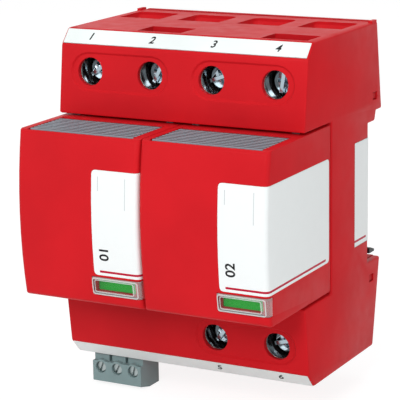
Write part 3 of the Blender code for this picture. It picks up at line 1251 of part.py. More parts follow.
def make_module_rear_plate():
    half_x, half_z = MODULE_INNER_WIDTH - GAP, MODULE_INNER_HEIGHT - GAP
    front = MODULE_REAR - REAR_PLATE
    rear_plate = boxes("module_rear_plate", [((-half_x, front, -half_z), (half_x, MODULE_REAR, half_z))])
    side, size, back = BLADE_THICK / 2 + GAP, BLADE_SIZE / 2 + GAP, MODULE_REAR + OVERCUT
    heights = (CONTACT_HEIGHT, -CONTACT_HEIGHT)
    slots = [((-side, front - OVERCUT, z - size), (side, back, z + size)) for z in heights]
    boolean(rear_plate, boxes("blade_slots", slots))
    depth = REAR_PLATE + 2 * OVERCUT
    hole = ((PLUNGER_OFFSET, front - OVERCUT, SLIDER_HEIGHT), depth, PLUNGER / 2 + GAP, "Y")
    boolean(rear_plate, rods("plunger_hole", [hole], 12))
    return settle(rear_plate)


def make_flag():
    low, high = WINDOW_BOTTOM + FLAG_HOLE_MARGIN - GAP, WINDOW_TOP - FLAG_HOLE_MARGIN + GAP
    front = FRONT_WALL_BACK + GAP
    middle = (FLAG_HOLE_LEFT + FLAG_HOLE_RIGHT) / 2
    left, right = FLAG_HOLE_LEFT - GAP, FLAG_HOLE_RIGHT + GAP
    stem = FLAG_STEM / 2
    outline = [(left, low), (right, low), (right, high), (middle + stem, high),
               (middle + stem, FLAG_STEM_TOP), (middle - stem, FLAG_STEM_TOP),
               (middle - stem, high), (left, high)]
    return plate("status_flag", outline, FLAG_THICK, "XZ", front + FLAG_THICK / 2)


def make_release_key(side):
    """A ribbed push key with two arms that run back under the wall to their noses."""
    top, floor, valley = MODULE_HALF_HEIGHT, MODULE_HALF_HEIGHT - KEY_THICK, MODULE_HALF_HEIGHT - KEY_RIB
    pitch = (KEY_REAR - KEY_FRONT - 2 * KEY_EDGE) / KEY_RIBS
    outline = [(KEY_FRONT, floor), (KEY_REAR, floor), (KEY_REAR, valley)]
    for i in reversed(range(KEY_RIBS)):
        start = KEY_FRONT + KEY_EDGE + i * pitch
        outline += [(start + pitch / 2, valley), (start + pitch * 3 / 8, top), (start + pitch / 8, top),
                    (start, valley)]
    outline += [(KEY_FRONT, valley)]
    arm_high = MODULE_INNER_HEIGHT - GAP
    arm_low = arm_high - KEY_ARM_THICK
    foot, heel = KEY_REAR - KEY_FOOT, KEY_REAR - STEP
    nose = KEY_ARM_REAR - KEY_NOSE
    arm = [(foot, arm_low), (KEY_ARM_REAR, arm_low), (KEY_ARM_REAR, arm_high),
           (KEY_ARM_REAR - KEY_NOSE_SLOPE, top + GAP), (nose, top + GAP), (nose, arm_high),
           (heel, arm_high), (heel, floor + STEP), (foot, floor + STEP)]
    key = plate("release_key", outline, KEY_WIDTH, "YZ")
    for sign in (-1, 1):
        middle = sign * ((KEY_WIDTH - KEY_ARM) / 2 - STEP)
        boolean(key, plate("key_arm", arm, KEY_ARM, "YZ", middle), "UNION")
    settle(key)
    return key if side > 0 else upside_down(key)


def make_spark_gap():
    """A turned capsule with an electrode at each end, standing on Z."""
    full, end = SPARK_RADIUS, SPARK_HALF
    neck, waist, cut = full - SPARK_STEP, end - SPARK_STEP_HEIGHT, SPARK_CHAMFER
    upper = [(0.0, end), (neck, end), (neck, waist), (full - cut, waist), (full, waist - cut)]
    capsule = turned("spark_gap", upper + mirrored(upper))
    capsule.data.transform(Matrix.Translation((0, SPARK_CENTRE, 0)))
    return capsule


def make_blade(side):
    """A flat blade: a strip over the capsule's electrode that turns down and back through the plate."""
    top, low, cut = CONTACT_HEIGHT + BLADE_SIZE / 2, CONTACT_HEIGHT - BLADE_SIZE / 2, BLADE_CORNER
    strip_low, strip_high, back = SPARK_HALF + GAP, SPARK_HALF + GAP + BLADE_STRIP, BLADE_ROOT + BLADE_STRIP
    outline = [(BLADE_STRIP_FRONT, strip_high), (BLADE_STRIP_FRONT, strip_low), (BLADE_ROOT, strip_low),
               (BLADE_ROOT, low), (BLADE_TIP - cut, low), (BLADE_TIP, low + cut), (BLADE_TIP, top - cut),
               (BLADE_TIP - cut, top), (back, top), (back, strip_high)]
    if side < 0:
        outline = mirrored(outline)
    return plate("module_blade", outline, BLADE_THICK, "YZ")


def make_modules():
    label = skin("module_label", label_area("label_area", EDGE_GAP), 0.0, LABEL_THICK)
    window = skin("status_window", window_area("window_area", EDGE_GAP), WINDOW_PROUD, WINDOW_SEAT)
    pieces = (("module_housing", make_module_housing(), (RED, 0.3)),
              ("module_rear_plate", make_module_rear_plate(), (BLACK, 0.4)),
              ("module_label", label, (WHITE, 0.4)),
              ("status_window", window, (WHITE, 0.1, 0.0, 0.4)),
              ("status_flag", make_flag(), ((0.03, 0.4, 0.06), 0.4)),
              ("top_release_key", make_release_key(1), (GREY, 0.4)),
              ("bottom_release_key", make_release_key(-1), (GREY, 0.4)),
              ("spark_gap", make_spark_gap(), (BLACK, 0.5)),
              ("upper_blade", make_blade(1), (COPPER, 0.25, 1.0)),
              ("lower_blade", make_blade(-1), (COPPER, 0.25, 1.0)))
    for letter, x in MODULE_X.items():
        holder = bpy.data.objects.new("module_" + letter, None)
        PARTS.objects.link(holder)
        holder.location = (x, 0.0, 0.0)
        for name, source, finish in pieces:
            piece = bpy.data.objects.new(f"{name}_{letter}", source.data.copy())
            keep(piece, finish, holder)
    for _, source, _ in pieces:
        bpy.data.objects.remove(source)


def shade(angle=35.0):
    """Round faces are shaded smooth up to a crease angle."""
    for piece in PARTS.objects:
        if piece.type == "MESH":
            piece.data.shade_smooth()
            piece.data.set_sharp_from_angle(angle=math.radians(angle))


def main():
    make_base_housing()
    make_rear_cover()
    make_rail_latches()
    inner = INNER_HALF_WIDTH - GAP
    make_carrier("upper_terminal_carrier", 1, [TERMINAL_X[i] for i in UPPER_TERMINALS], -inner, inner)
    make_carrier("lower_terminal_carrier", -1, [TERMINAL_X[i] for i in LOWER_TERMINALS], GAP, inner)
    make_terminals()
    make_busbars()
    make_contacts()
    make_labels()
    make_signal_header()
    make_signal_plug()
    make_signal_slider()
    make_signal_switch()
    make_modules()
    shade()


main()
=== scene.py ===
# %% [markdown]
# # A plug-in surge arrester for a DIN rail
# The real device is a red moulded base, 72 mm wide, that snaps on a rail. Two red protection
# modules plug into its front, white strips mark its terminals, and a grey signal plug hangs below.
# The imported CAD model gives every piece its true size, so this lesson only dresses it: finer
# shapes where the eye is near, a procedural finish for each material, soft light and the camera.

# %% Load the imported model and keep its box
import math

import bmesh
import bpy
from mathutils import Matrix, Vector
from mathutils.bvhtree import BVHTree


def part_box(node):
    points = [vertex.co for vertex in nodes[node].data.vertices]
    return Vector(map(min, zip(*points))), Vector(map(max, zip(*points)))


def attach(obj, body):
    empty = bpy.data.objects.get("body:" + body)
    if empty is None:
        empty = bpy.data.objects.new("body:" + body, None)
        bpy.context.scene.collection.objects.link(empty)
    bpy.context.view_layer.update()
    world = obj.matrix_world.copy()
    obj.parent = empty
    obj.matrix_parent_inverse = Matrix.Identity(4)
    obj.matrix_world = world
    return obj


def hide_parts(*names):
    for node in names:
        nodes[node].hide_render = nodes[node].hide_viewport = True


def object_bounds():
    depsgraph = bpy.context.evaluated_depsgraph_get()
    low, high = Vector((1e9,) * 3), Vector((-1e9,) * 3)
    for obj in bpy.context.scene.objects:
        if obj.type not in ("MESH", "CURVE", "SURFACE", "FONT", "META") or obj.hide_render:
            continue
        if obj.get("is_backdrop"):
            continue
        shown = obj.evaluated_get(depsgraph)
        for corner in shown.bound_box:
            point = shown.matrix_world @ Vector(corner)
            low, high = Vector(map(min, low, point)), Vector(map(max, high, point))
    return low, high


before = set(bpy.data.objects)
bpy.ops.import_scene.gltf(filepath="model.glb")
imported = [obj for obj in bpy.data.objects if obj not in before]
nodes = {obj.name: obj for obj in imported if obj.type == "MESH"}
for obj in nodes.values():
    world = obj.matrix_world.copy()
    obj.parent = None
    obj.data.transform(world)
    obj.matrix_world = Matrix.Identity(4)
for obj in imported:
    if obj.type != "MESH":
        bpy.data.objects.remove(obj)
cad_low, cad_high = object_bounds()
MM = 0.001
print("CAD nodes:", len(nodes), "box in mm:", [round(v / MM, 1) for v in cad_high - cad_low])

# %% [markdown]
# ## Two small helpers for node trees
# Finishes and repeated parts are both node trees. One helper adds a node, sets its options and
# fills its inputs, with a link where the value is a socket and a plain number where it isn't. The
# other is for the Math node, which is used most. That keeps every later cell down to the nodes that
# matter.

# %% Add a node and fill its inputs
def add_node(tree, kind, inputs=None, **options):
    """A new node. Inputs are named or numbered; a socket is linked and a plain value is written."""
    made = tree.nodes.new(kind)
    for option, value in options.items():
        setattr(made, option, value)
    for key, value in (inputs or {}).items():
        if isinstance(value, bpy.types.NodeSocket):
            tree.links.new(value, made.inputs[key])
        else:
            made.inputs[key].default_value = value
    return made


def maths(tree, operation, *values):
    """The output of one Math node."""
    return add_node(tree, "ShaderNodeMath", dict(enumerate(values)), operation=operation).outputs[0]


# %% [markdown]
# ## Moulded plastic
# The housings are injection-moulded. The tool is spark-eroded, so the skin has a very fine grain,
# the gloss wanders a little where the melt cooled, and no edge is quite sharp. A flat colour can't
# show that. Here a slow noise shifts the tone, a finer one the roughness, the finest one is the
# grain's bump, and a Bevel node rounds the light over every edge by two tenths of a millimetre.

# %% A finish for moulded plastic
def moulded_plastic(name, colour, roughness, grain=0.25, grain_size=0.35 * MM, ior=1.14, edge=0.2 * MM):
    """A satin moulded skin in one colour. A low index stands for the sheen that a fine grain loses."""
    material = bpy.data.materials.new(name)
    material.use_nodes = True
    tree = material.node_tree
    shader = tree.nodes["Principled BSDF"]
    place = add_node(tree, "ShaderNodeTexCoord").outputs["Object"]
    melt = add_node(tree, "ShaderNodeTexNoise", {"Vector": place, "Scale": 55.0, "Detail": 3.0})
    tone = add_node(tree, "ShaderNodeValToRGB", {"Fac": melt.outputs["Fac"]})
    tone.color_ramp.elements[0].position = 0.3
    tone.color_ramp.elements[1].position = 0.7
    tone.color_ramp.elements[0].color = [c * 0.94 for c in colour] + [1.0]
    tone.color_ramp.elements[1].color = [min(c * 1.05, 1.0) for c in colour] + [1.0]
    polish = add_node(tree, "ShaderNodeTexNoise", {"Vector": place, "Scale": 260.0, "Detail": 2.0})
    sheen = add_node(tree, "ShaderNodeMapRange", {"Value": polish.outputs["Fac"], "From Min": 0.3,
                     "From Max": 0.7, "To Min": roughness - 0.04, "To Max": roughness + 0.05})
    skin = add_node(tree, "ShaderNodeTexNoise", {"Vector": place, "Scale": 1 / grain_size, "Detail": 2.0})
    rounding = add_node(tree, "ShaderNodeBevel", {"Radius": edge}, samples=6)
    bump = add_node(tree, "ShaderNodeBump", {"Strength": grain, "Distance": 0.02 * MM,
                    "Height": skin.outputs["Fac"], "Normal": rounding.outputs["Normal"]})
    tree.links.new(tone.outputs["Color"], shader.inputs["Base Color"])
    tree.links.new(sheen.outputs["Result"], shader.inputs["Roughness"])
    tree.links.new(bump.outputs["Normal"], shader.inputs["Normal"])
    shader.inputs["IOR"].default_value = ior
    return material


SHELL_RED = (0.61, 0.012, 0.018)
COVER_RED = (0.51, 0.01, 0.015)
red_shell = moulded_plastic("red moulded shell", SHELL_RED, 0.4)
red_cover = moulded_plastic("red moulded cover", COVER_RED, 0.46, grain=0.4)
black_terminal = moulded_plastic("glossy dark insulator", (0.016, 0.009, 0.009), 0.12, grain=0.0, ior=2.5,
                                 edge=0.6 * MM)
black_foot = moulded_plastic("black latch plastic", (0.014, 0.014, 0.016), 0.4, grain=0.5, ior=1.4)
key_grey = moulded_plastic("grey release key", (0.27, 0.29, 0.33), 0.38, ior=1.3)
plug_grey = moulded_plastic("grey plug plastic", (0.215, 0.3, 0.305), 0.4, grain=0.4, ior=1.25)
strip_white = moulded_plastic("white marking strip", (0.84, 0.9, 0.89), 0.38, grain=0.15, ior=1.3)
flag_green = moulded_plastic("green flag", (0.02, 0.54, 0.045), 0.5)
print("plastics:", [m.name for m in (red_shell, red_cover, black_terminal, black_foot)])

# %% [markdown]
# ## Metals
# The screws and cages are zinc-plated steel with a cold, bluish gloss, and the current paths are
# tinned copper. Plating is never even: a noise moves the roughness in small clouds, and fine
# scratches stretched along one way catch the light. Both come from one recipe with its own tint.

# %% A finish for plated metal
def plated_metal(name, colour, roughness, scratch=0.2):
    """Metal with cloudy plating and fine drawn scratches."""
    material = bpy.data.materials.new(name)
    material.use_nodes = True
    tree = material.node_tree
    shader = tree.nodes["Principled BSDF"]
    place = add_node(tree, "ShaderNodeTexCoord").outputs["Object"]
    clouds = add_node(tree, "ShaderNodeTexNoise", {"Vector": place, "Scale": 700.0, "Detail": 4.0})
    tint = add_node(tree, "ShaderNodeValToRGB", {"Fac": clouds.outputs["Fac"]})
    tint.color_ramp.elements[0].color = [c * 0.82 for c in colour] + [1.0]
    tint.color_ramp.elements[1].color = list(colour) + [1.0]
    cloud_gloss = add_node(tree, "ShaderNodeMapRange", {"Value": clouds.outputs["Fac"],
                           "To Min": roughness - 0.06, "To Max": roughness + 0.1})
    drawn = add_node(tree, "ShaderNodeMapping", {"Vector": place, "Scale": (1.0, 0.08, 1.0)})
    lines = add_node(tree, "ShaderNodeTexNoise", {"Vector": drawn.outputs[0], "Scale": 9000.0,
                     "Detail": 2.0})
    rounding = add_node(tree, "ShaderNodeBevel", {"Radius": 0.12 * MM}, samples=6)
    bump = add_node(tree, "ShaderNodeBump", {"Strength": scratch, "Distance": 0.01 * MM,
                    "Height": lines.outputs["Fac"], "Normal": rounding.outputs["Normal"]})
    tree.links.new(tint.outputs["Color"], shader.inputs["Base Color"])
    tree.links.new(cloud_gloss.outputs["Result"], shader.inputs["Roughness"])
    tree.links.new(bump.outputs["Normal"], shader.inputs["Normal"])
    shader.inputs["Metallic"].default_value = 1.0
    return material


zinc_steel = plated_metal("zinc-plated steel", (0.42, 0.52, 0.58), 0.12, scratch=0.1)
dull_steel = plated_metal("dull plated steel", (0.4, 0.46, 0.46), 0.36)
tinned_copper = plated_metal("tinned copper", (0.72, 0.66, 0.58), 0.3)
spring_steel = plated_metal("spring steel", (0.42, 0.42, 0.44), 0.26)
capsule_steel = plated_metal("capsule steel", (0.55, 0.56, 0.57), 0.34)
print("metals ready")

# %% [markdown]
# ## Tidy copies of the shells
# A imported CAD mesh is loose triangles, so its rounds look faceted. A copy whose doubles are merged
# can be shaded smoothly across each round and kept crisp at each real edge. The CAD node itself is
# never touched: the copy stands in for it, and rides on the same body.

# %% Copy a node, merge it and shade it
MERGE_DISTANCE = 0.001 * MM
FLAT_WITHIN = math.radians(0.3)


def stretched(points, grow_low, grow_high):
    """The points with the two ends of their box moved outward, and all between moved in proportion."""
    low = [min(p[i] for p in points) for i in range(3)]
    high = [max(p[i] for p in points) for i in range(3)]
    scale = [1 + (grow_low[i] + grow_high[i]) * MM / (high[i] - low[i]) for i in range(3)]
    start = [low[i] - grow_low[i] * MM for i in range(3)]
    return [Vector([start[i] + (p[i] - low[i]) * scale[i] for i in range(3)]) for p in points]


def nudged(points, nudges):
    """The points, with those inside each box moved by its step; a nudge is (low, high, step) in mm."""
    for low, high, step in nudges:
        for point in points:
            if all(low[i] * MM <= point[i] <= high[i] * MM for i in range(3)):
                point += Vector(step) * MM
    return points


def tidy_copy(node, body, material, grow_low=(0, 0, 0), grow_high=(0, 0, 0), nudges=(), sharp=32):
    """A merged, smoothly shaded copy of a CAD node that replaces it, grown by so many mm at its ends."""
    source = nodes[node].data
    mesh = bpy.data.meshes.new(node + "_shell")
    points = nudged(stretched([v.co for v in source.vertices], grow_low, grow_high), nudges)
    mesh.from_pydata(points, [], [p.vertices[:] for p in source.polygons])
    work = bmesh.new()
    work.from_mesh(mesh)
    bmesh.ops.remove_doubles(work, verts=work.verts, dist=MERGE_DISTANCE)
    bmesh.ops.dissolve_limit(work, angle_limit=FLAT_WITHIN, verts=work.verts, edges=work.edges)
    for face in work.faces:
        face.smooth = True
    work.to_mesh(mesh)
    work.free()
    mesh.set_sharp_from_angle(angle=math.radians(sharp))
    mesh.materials.append(material)
    piece = bpy.data.objects.new(mesh.name, mesh)
    bpy.context.scene.collection.objects.link(piece)
    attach(piece, body)
    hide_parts(node)
    return piece


base_shell = tidy_copy("base_housing", "base", red_shell)
tidy_copy("rear_cover", "base", red_cover)
print("base shell faces:", len(base_shell.data.polygons))

# %% [markdown]
# ## Module housings, strips, plug and other mouldings
# The same copy serves each moulding that is seen from near. The two modules are alike, so a loop
# over their letters dresses both. The photograph shows three edges on their fronts a little further
# right than the solids have them, where the seats of the label and the window start and where the
# hole over the flag ends. So the points of each such edge are picked by a box and nudged.

# %% Dress the mouldings
# Sizes in this cell are in mm
MODULE_CENTRE = {"a": -18.0, "b": 18.0}
FRONT_SKIN = (-63.0, -57.0)
SEAT_SHIFT = 1.35
HOLE_SHIFT = 1.2
FLAG_SHIFT = 0.8
# Left, right, low and high from the middle of a module, and the step to the right
LABEL_SEAT_EDGE = (3.0, 4.6, -14.0, 13.8, SEAT_SHIFT)
WINDOW_SEAT_EDGE = (2.0, 2.6, -19.6, -14.1, SEAT_SHIFT)
FLAG_HOLE_EDGE = (14.2, 14.6, -19.0, -14.9, HOLE_SHIFT)


def seat_nudges(centre):
    """The nudges for the edges of the seats and the hole in one module's front."""
    front, rear = FRONT_SKIN
    return [((centre + left, front, low), (centre + right, rear, high), (step, 0, 0))
            for left, right, low, high, step in (LABEL_SEAT_EDGE, WINDOW_SEAT_EDGE, FLAG_HOLE_EDGE)]


for side, centre in MODULE_CENTRE.items():
    tidy_copy("module_housing_" + side, "module_" + side, red_shell, nudges=seat_nudges(centre))
    tidy_copy("module_rear_plate_" + side, "module_" + side, red_cover)
    tidy_copy("top_release_key_" + side, "top_key_" + side, key_grey)
    tidy_copy("bottom_release_key_" + side, "bottom_key_" + side, key_grey)
    tidy_copy("status_flag_" + side, "flag_" + side, flag_green, grow_high=(FLAG_SHIFT, 0, 0))
tidy_copy("signal_plug", "signal_plug", plug_grey)
# The strips close the assembly gap that the solids keep round them
tidy_copy("upper_marking_strip", "base", strip_white, (0.2, 0.1, 0), (0.2, 0, 0.1))
tidy_copy("lower_marking_strip", "base", strip_white, (0.2, 0.1, 0.3), (0.2, 0.3, 0))
for end in ("upper", "lower"):
    tidy_copy(end + "_terminal_carrier", "base", black_terminal)
print("mouldings dressed")

# %% [markdown]
# ## Parts that repeat: a small workshop for Geometry Nodes
# Screws, ribs and spring coils repeat, so each is drawn once as a tree with named sizes. A tree
# needs an object to run on: the sizes go to the modifier by each socket's identifier, the result
# becomes a plain mesh, and only then does the piece join its body.

# %% Make a tree, and run it into a plain mesh
SOCKETS = {float: "NodeSocketFloat", int: "NodeSocketInt", tuple: "NodeSocketVector",
           bpy.types.Material: "NodeSocketMaterial"}


def new_tree(name, sizes):
    """A Geometry Nodes tree with a named input for each size; returns it and its input sockets."""
    tree = bpy.data.node_groups.new(name, "GeometryNodeTree")
    tree.interface.new_socket(name="Geometry", in_out="OUTPUT", socket_type="NodeSocketGeometry")
    for label, kind in sizes.items():
        tree.interface.new_socket(name=label, in_out="INPUT", socket_type=SOCKETS[kind])
    return tree, add_node(tree, "NodeGroupInput").outputs


def close_tree(tree, geometry, material):
    """Ends a tree: instances are realized, the finish is set, and the result goes out."""
    solid = add_node(tree, "GeometryNodeRealizeInstances", {"Geometry": geometry})
    coated = add_node(tree, "GeometryNodeSetMaterial", {"Geometry": solid.outputs[0], "Material": material})
    smooth = add_node(tree, "GeometryNodeSetShadeSmooth", {"Geometry": coated.outputs[0]})
    add_node(tree, "NodeGroupOutput", {0: smooth.outputs[0]})


def run_tree(tree, name, body, sizes, sharp=32):
    """Runs a tree with these sizes and keeps the result as a plain mesh on a body."""
    piece = bpy.data.objects.new(name, bpy.data.meshes.new(name))
    bpy.context.scene.collection.objects.link(piece)
    step = piece.modifiers.new("grow", "NODES")
    step.node_group = tree
    for socket in tree.interface.items_tree:
        if socket.in_out == "INPUT":
            step[socket.identifier] = sizes[socket.name]
    bpy.context.view_layer.update()
    grown = piece.evaluated_get(bpy.context.evaluated_depsgraph_get())
    mesh = bpy.data.meshes.new_from_object(grown)
    piece.modifiers.clear()
    piece.data = mesh
    mesh.set_sharp_from_angle(angle=math.radians(sharp))
    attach(piece, body)
    return piece


# %% [markdown]
# ## Screws
# A terminal screw has a cylindrical head with a broken edge and a recess for both a flat and a
# cross driver, and a threaded shank. The tree stacks a cone on a cylinder, cuts two bars out of it,
# winds a three-sided thread round the shank, and turns the screw to face forwards. The plug's
# small slotted screws come from the same tree with other sizes.

# %% The screw tree
SCREW_SIZES = {"Place": tuple, "Turn": float, "Head Radius": float, "Head Height": float,
               "Broken Edge": float, "Shank Radius": float, "Shank Length": float, "Slot Width": float,
               "Slot Length": float, "Slot Depth": float, "Cross Length": float, "Cross Depth": float,
               "Thread Turns": float, "Thread Height": float, "Finish": bpy.types.Material}
# The shank starts a hair inside the head, so that the union has no shared face
JUST_INSIDE = -0.9999
THREADED_SHARE = 0.92
tree, size = new_tree("screw", SCREW_SIZES)


def reckon(operation, *values):
    """The output of a Math node in the tree that is being drawn."""
    return maths(tree, operation, *values)


def along_z(value):
    """A vector that points along Z by this much."""
    return add_node(tree, "ShaderNodeCombineXYZ", {2: value}).outputs[0]


def moved(geometry, height):
    """The geometry, moved along Z."""
    step = {"Geometry": geometry, "Translation": along_z(height)}
    return add_node(tree, "GeometryNodeTransform", step).outputs[0]


edge_down = reckon("MULTIPLY", size["Broken Edge"], -1.0)
drum_height = reckon("SUBTRACT", size["Head Height"], size["Broken Edge"])
drum = add_node(tree, "GeometryNodeMeshCylinder", {"Vertices": 48, "Radius": size["Head Radius"],
                "Depth": drum_height})
drum = moved(drum.outputs[0], reckon("SUBTRACT", edge_down, reckon("MULTIPLY", drum_height, 0.5)))
crown = add_node(tree, "GeometryNodeMeshCone", {"Vertices": 48, "Depth": size["Broken Edge"],
                 "Radius Top": reckon("SUBTRACT", size["Head Radius"], size["Broken Edge"]),
                 "Radius Bottom": size["Head Radius"]})
crown = moved(crown.outputs[0], edge_down)
shank = add_node(tree, "GeometryNodeMeshCylinder", {"Vertices": 32, "Radius": size["Shank Radius"],
                 "Depth": size["Shank Length"]})
shank_middle = reckon("ADD", size["Head Height"], reckon("MULTIPLY", size["Shank Length"], 0.5))
shank = moved(shank.outputs[0], reckon("MULTIPLY", shank_middle, JUST_INSIDE))
blank = add_node(tree, "GeometryNodeMeshBoolean", {}, operation="UNION")
for solid in (drum, crown, shank):
    tree.links.new(solid, blank.inputs["Mesh 2"])
slot_size = add_node(tree, "ShaderNodeCombineXYZ", {0: size["Slot Length"], 1: size["Slot Width"],
                     2: reckon("MULTIPLY", size["Slot Depth"], 2.0)})
cross_size = add_node(tree, "ShaderNodeCombineXYZ", {0: size["Slot Width"], 1: size["Cross Length"],
                      2: reckon("MULTIPLY", size["Cross Depth"], 2.0)})
cut = add_node(tree, "GeometryNodeMeshBoolean", {"Mesh 1": blank.outputs[0]}, operation="DIFFERENCE")
for bar in (slot_size, cross_size):
    solid = add_node(tree, "GeometryNodeMeshCube", {"Size": bar.outputs[0]})
    tree.links.new(solid.outputs[0], cut.inputs["Mesh 2"])
helix = add_node(tree, "GeometryNodeCurveSpiral", {"Resolution": 20, "Rotations": size["Thread Turns"],
                 "Start Radius": size["Shank Radius"], "End Radius": size["Shank Radius"],
                 "Height": reckon("MULTIPLY", size["Shank Length"], THREADED_SHARE)})
ridge = add_node(tree, "GeometryNodeCurvePrimitiveCircle", {"Resolution": 3,
                 "Radius": size["Thread Height"]})
thread = add_node(tree, "GeometryNodeCurveToMesh", {"Curve": helix.outputs[0],
                  "Profile Curve": ridge.outputs[0], "Fill Caps": True})
below_head = reckon("MULTIPLY", size["Shank Length"], (1 + THREADED_SHARE) / 2)
thread_end = reckon("ADD", size["Head Height"], below_head)
thread = moved(thread.outputs[0], reckon("MULTIPLY", thread_end, -1.0))
whole = add_node(tree, "GeometryNodeJoinGeometry", {})
tree.links.new(cut.outputs[0], whole.inputs[0])
tree.links.new(thread, whole.inputs[0])
spun = add_node(tree, "GeometryNodeTransform", {"Geometry": whole.outputs[0],
                "Rotation": along_z(size["Turn"])})
faced = add_node(tree, "GeometryNodeTransform", {"Geometry": spun.outputs[0],
                 "Rotation": (math.pi / 2, 0.0, 0.0), "Translation": size["Place"]})
close_tree(tree, faced.outputs[0], size["Finish"])
screw_tree = tree

# %% Six terminal screws and three plug screws
TERMINAL_SCREW = {"Head Height": 3.0 * MM, "Broken Edge": 0.5 * MM, "Shank Radius": 2.25 * MM,
                  "Slot Width": 1.0 * MM, "Slot Length": 5.4 * MM, "Slot Depth": 1.5 * MM,
                  "Cross Length": 4.0 * MM, "Cross Depth": 1.3 * MM, "Thread Turns": 18.0,
                  "Thread Height": 0.16 * MM, "Finish": zinc_steel}
PLUG_SCREW = {"Head Height": 1.4 * MM, "Broken Edge": 0.2 * MM, "Shank Radius": 0.8 * MM,
              "Slot Width": 0.6 * MM, "Slot Length": 4.0 * MM, "Slot Depth": 0.7 * MM,
              "Cross Length": 0.6 * MM, "Cross Depth": 0.6 * MM, "Thread Turns": 6.0,
              "Thread Height": 0.1 * MM, "Finish": dull_steel}
# How far each screw is turned, in degrees
SCREW_TURNS = {"terminal_screw_": (35, 62, 20, 80, 50, 15), "plug_screw_": (70, 62, 78)}


def set_screw(node, body, form, turn):
    """Puts a grown screw where the CAD screw is."""
    low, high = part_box(node)
    place = ((low.x + high.x) / 2, low.y, (low.z + high.z) / 2)
    sizes = dict(form)
    sizes["Place"] = place
    sizes["Turn"] = math.radians(turn)
    sizes["Head Radius"] = (high.z - low.z) / 2
    sizes["Shank Length"] = high.y - low.y - form["Head Height"]
    piece = run_tree(screw_tree, node + "_cut", body, sizes)
    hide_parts(node)
    return piece


SCREW_ROWS = (("terminal_screw_", TERMINAL_SCREW, "screw_"), ("plug_screw_", PLUG_SCREW, "plug_screw_"))
for prefix, form, body in SCREW_ROWS:
    for index, turn in enumerate(SCREW_TURNS[prefix], 1):
        made = set_screw(f"{prefix}{index}", f"{body}{index}", form, turn)
print("screw faces:", len(made.data.polygons))

# %% [markdown]
# ## Ribs of the release keys
# The pads of the release keys are ribbed for grip. Each rib is a bar with rounded edges, made by
# sweeping a filleted rectangle along a line, and a row of points repeats it over the pad.

# %% The rib tree
RIB_SIZES = {"Place": tuple, "Count": int, "Pitch": float, "Length": float, "Width": float,
             "Height": float, "Round": float, "Finish": bpy.types.Material}
tree, size = new_tree("key ribs", RIB_SIZES)
outline = add_node(tree, "GeometryNodeCurvePrimitiveQuadrilateral",
                   {"Width": size["Width"], "Height": size["Height"]})
rounded = add_node(tree, "GeometryNodeFilletCurve",
                   {"Curve": outline.outputs[0], "Radius": size["Round"], "Count": 3}, mode="POLY")
half_length = reckon("MULTIPLY", size["Length"], 0.5)
start = add_node(tree, "ShaderNodeCombineXYZ", {0: reckon("MULTIPLY", half_length, -1.0)})
end = add_node(tree, "ShaderNodeCombineXYZ", {0: half_length})
line = add_node(tree, "GeometryNodeCurvePrimitiveLine", {"Start": start.outputs[0], "End": end.outputs[0]})
bar = add_node(tree, "GeometryNodeCurveToMesh", {"Curve": line.outputs[0],
               "Profile Curve": rounded.outputs[0], "Fill Caps": True})
step = add_node(tree, "ShaderNodeCombineXYZ", {1: size["Pitch"]})
row = add_node(tree, "GeometryNodeMeshLine", {"Count": size["Count"], "Start Location": size["Place"],
               "Offset": step.outputs[0]})
ribs = add_node(tree, "GeometryNodeInstanceOnPoints", {"Points": row.outputs[0],
                "Instance": bar.outputs[0]})
close_tree(tree, ribs.outputs[0], size["Finish"])
rib_tree = tree

# %% Ribs on the four keys
PAD_FRONT, PAD_REAR, PAD_MARGIN = -59.5 * MM, -42.8 * MM, 0.8 * MM
RIB_COUNT = 9
RIB_PITCH = (PAD_REAR - PAD_FRONT - 2 * PAD_MARGIN) / RIB_COUNT
RIB_WIDTH, RIB_HEIGHT, RIB_ROUND, RIB_END_GAP = 1.2 * MM, 0.62 * MM, 0.16 * MM, 0.02 * MM
MODULE_TOP = 22.2 * MM
for side in "ab":
    for end in ("top", "bottom"):
        low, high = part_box(f"{end}_release_key_{side}")
        crest = MODULE_TOP - RIB_HEIGHT / 2
        first = PAD_FRONT + PAD_MARGIN + RIB_PITCH / 4
        sizes = {"Place": ((low.x + high.x) / 2, first, crest if end == "top" else -crest),
                 "Count": RIB_COUNT, "Pitch": RIB_PITCH, "Length": high.x - low.x - RIB_END_GAP,
                 "Width": RIB_WIDTH, "Height": RIB_HEIGHT, "Round": RIB_ROUND, "Finish": key_grey}
        made = run_tree(rib_tree, f"{end}_key_ribs_{side}", f"{end}_key_{side}", sizes)
print("rib faces:", len(made.data.polygons), "box", [round(v / MM, 2) for v in made.dimensions])

# %% [markdown]
# ## Latch springs
# Each rail latch is pushed home by a small coil spring. A Spiral curve is the coil, and a round
# profile swept along it is the wire.

# %% The spring tree and the two springs
SPRING_SIZES = {"Place": tuple, "Coil Radius": float, "Wire Radius": float, "Turns": float,
                "Length": float, "Finish": bpy.types.Material}
tree, size = new_tree("coil spring", SPRING_SIZES)
coil = add_node(tree, "GeometryNodeCurveSpiral", {"Resolution": 24, "Rotations": size["Turns"],
                "Start Radius": size["Coil Radius"], "End Radius": size["Coil Radius"],
                "Height": size["Length"]})
wire = add_node(tree, "GeometryNodeCurvePrimitiveCircle", {"Resolution": 10, "Radius": size["Wire Radius"]})
drawn = add_node(tree, "GeometryNodeCurveToMesh", {"Curve": coil.outputs[0],
                 "Profile Curve": wire.outputs[0], "Fill Caps": True})
placed = add_node(tree, "GeometryNodeTransform", {"Geometry": drawn.outputs[0],
                  "Translation": size["Place"]})
close_tree(tree, placed.outputs[0], size["Finish"])
WIRE_RADIUS, COIL_TURNS = 0.18 * MM, 8.0
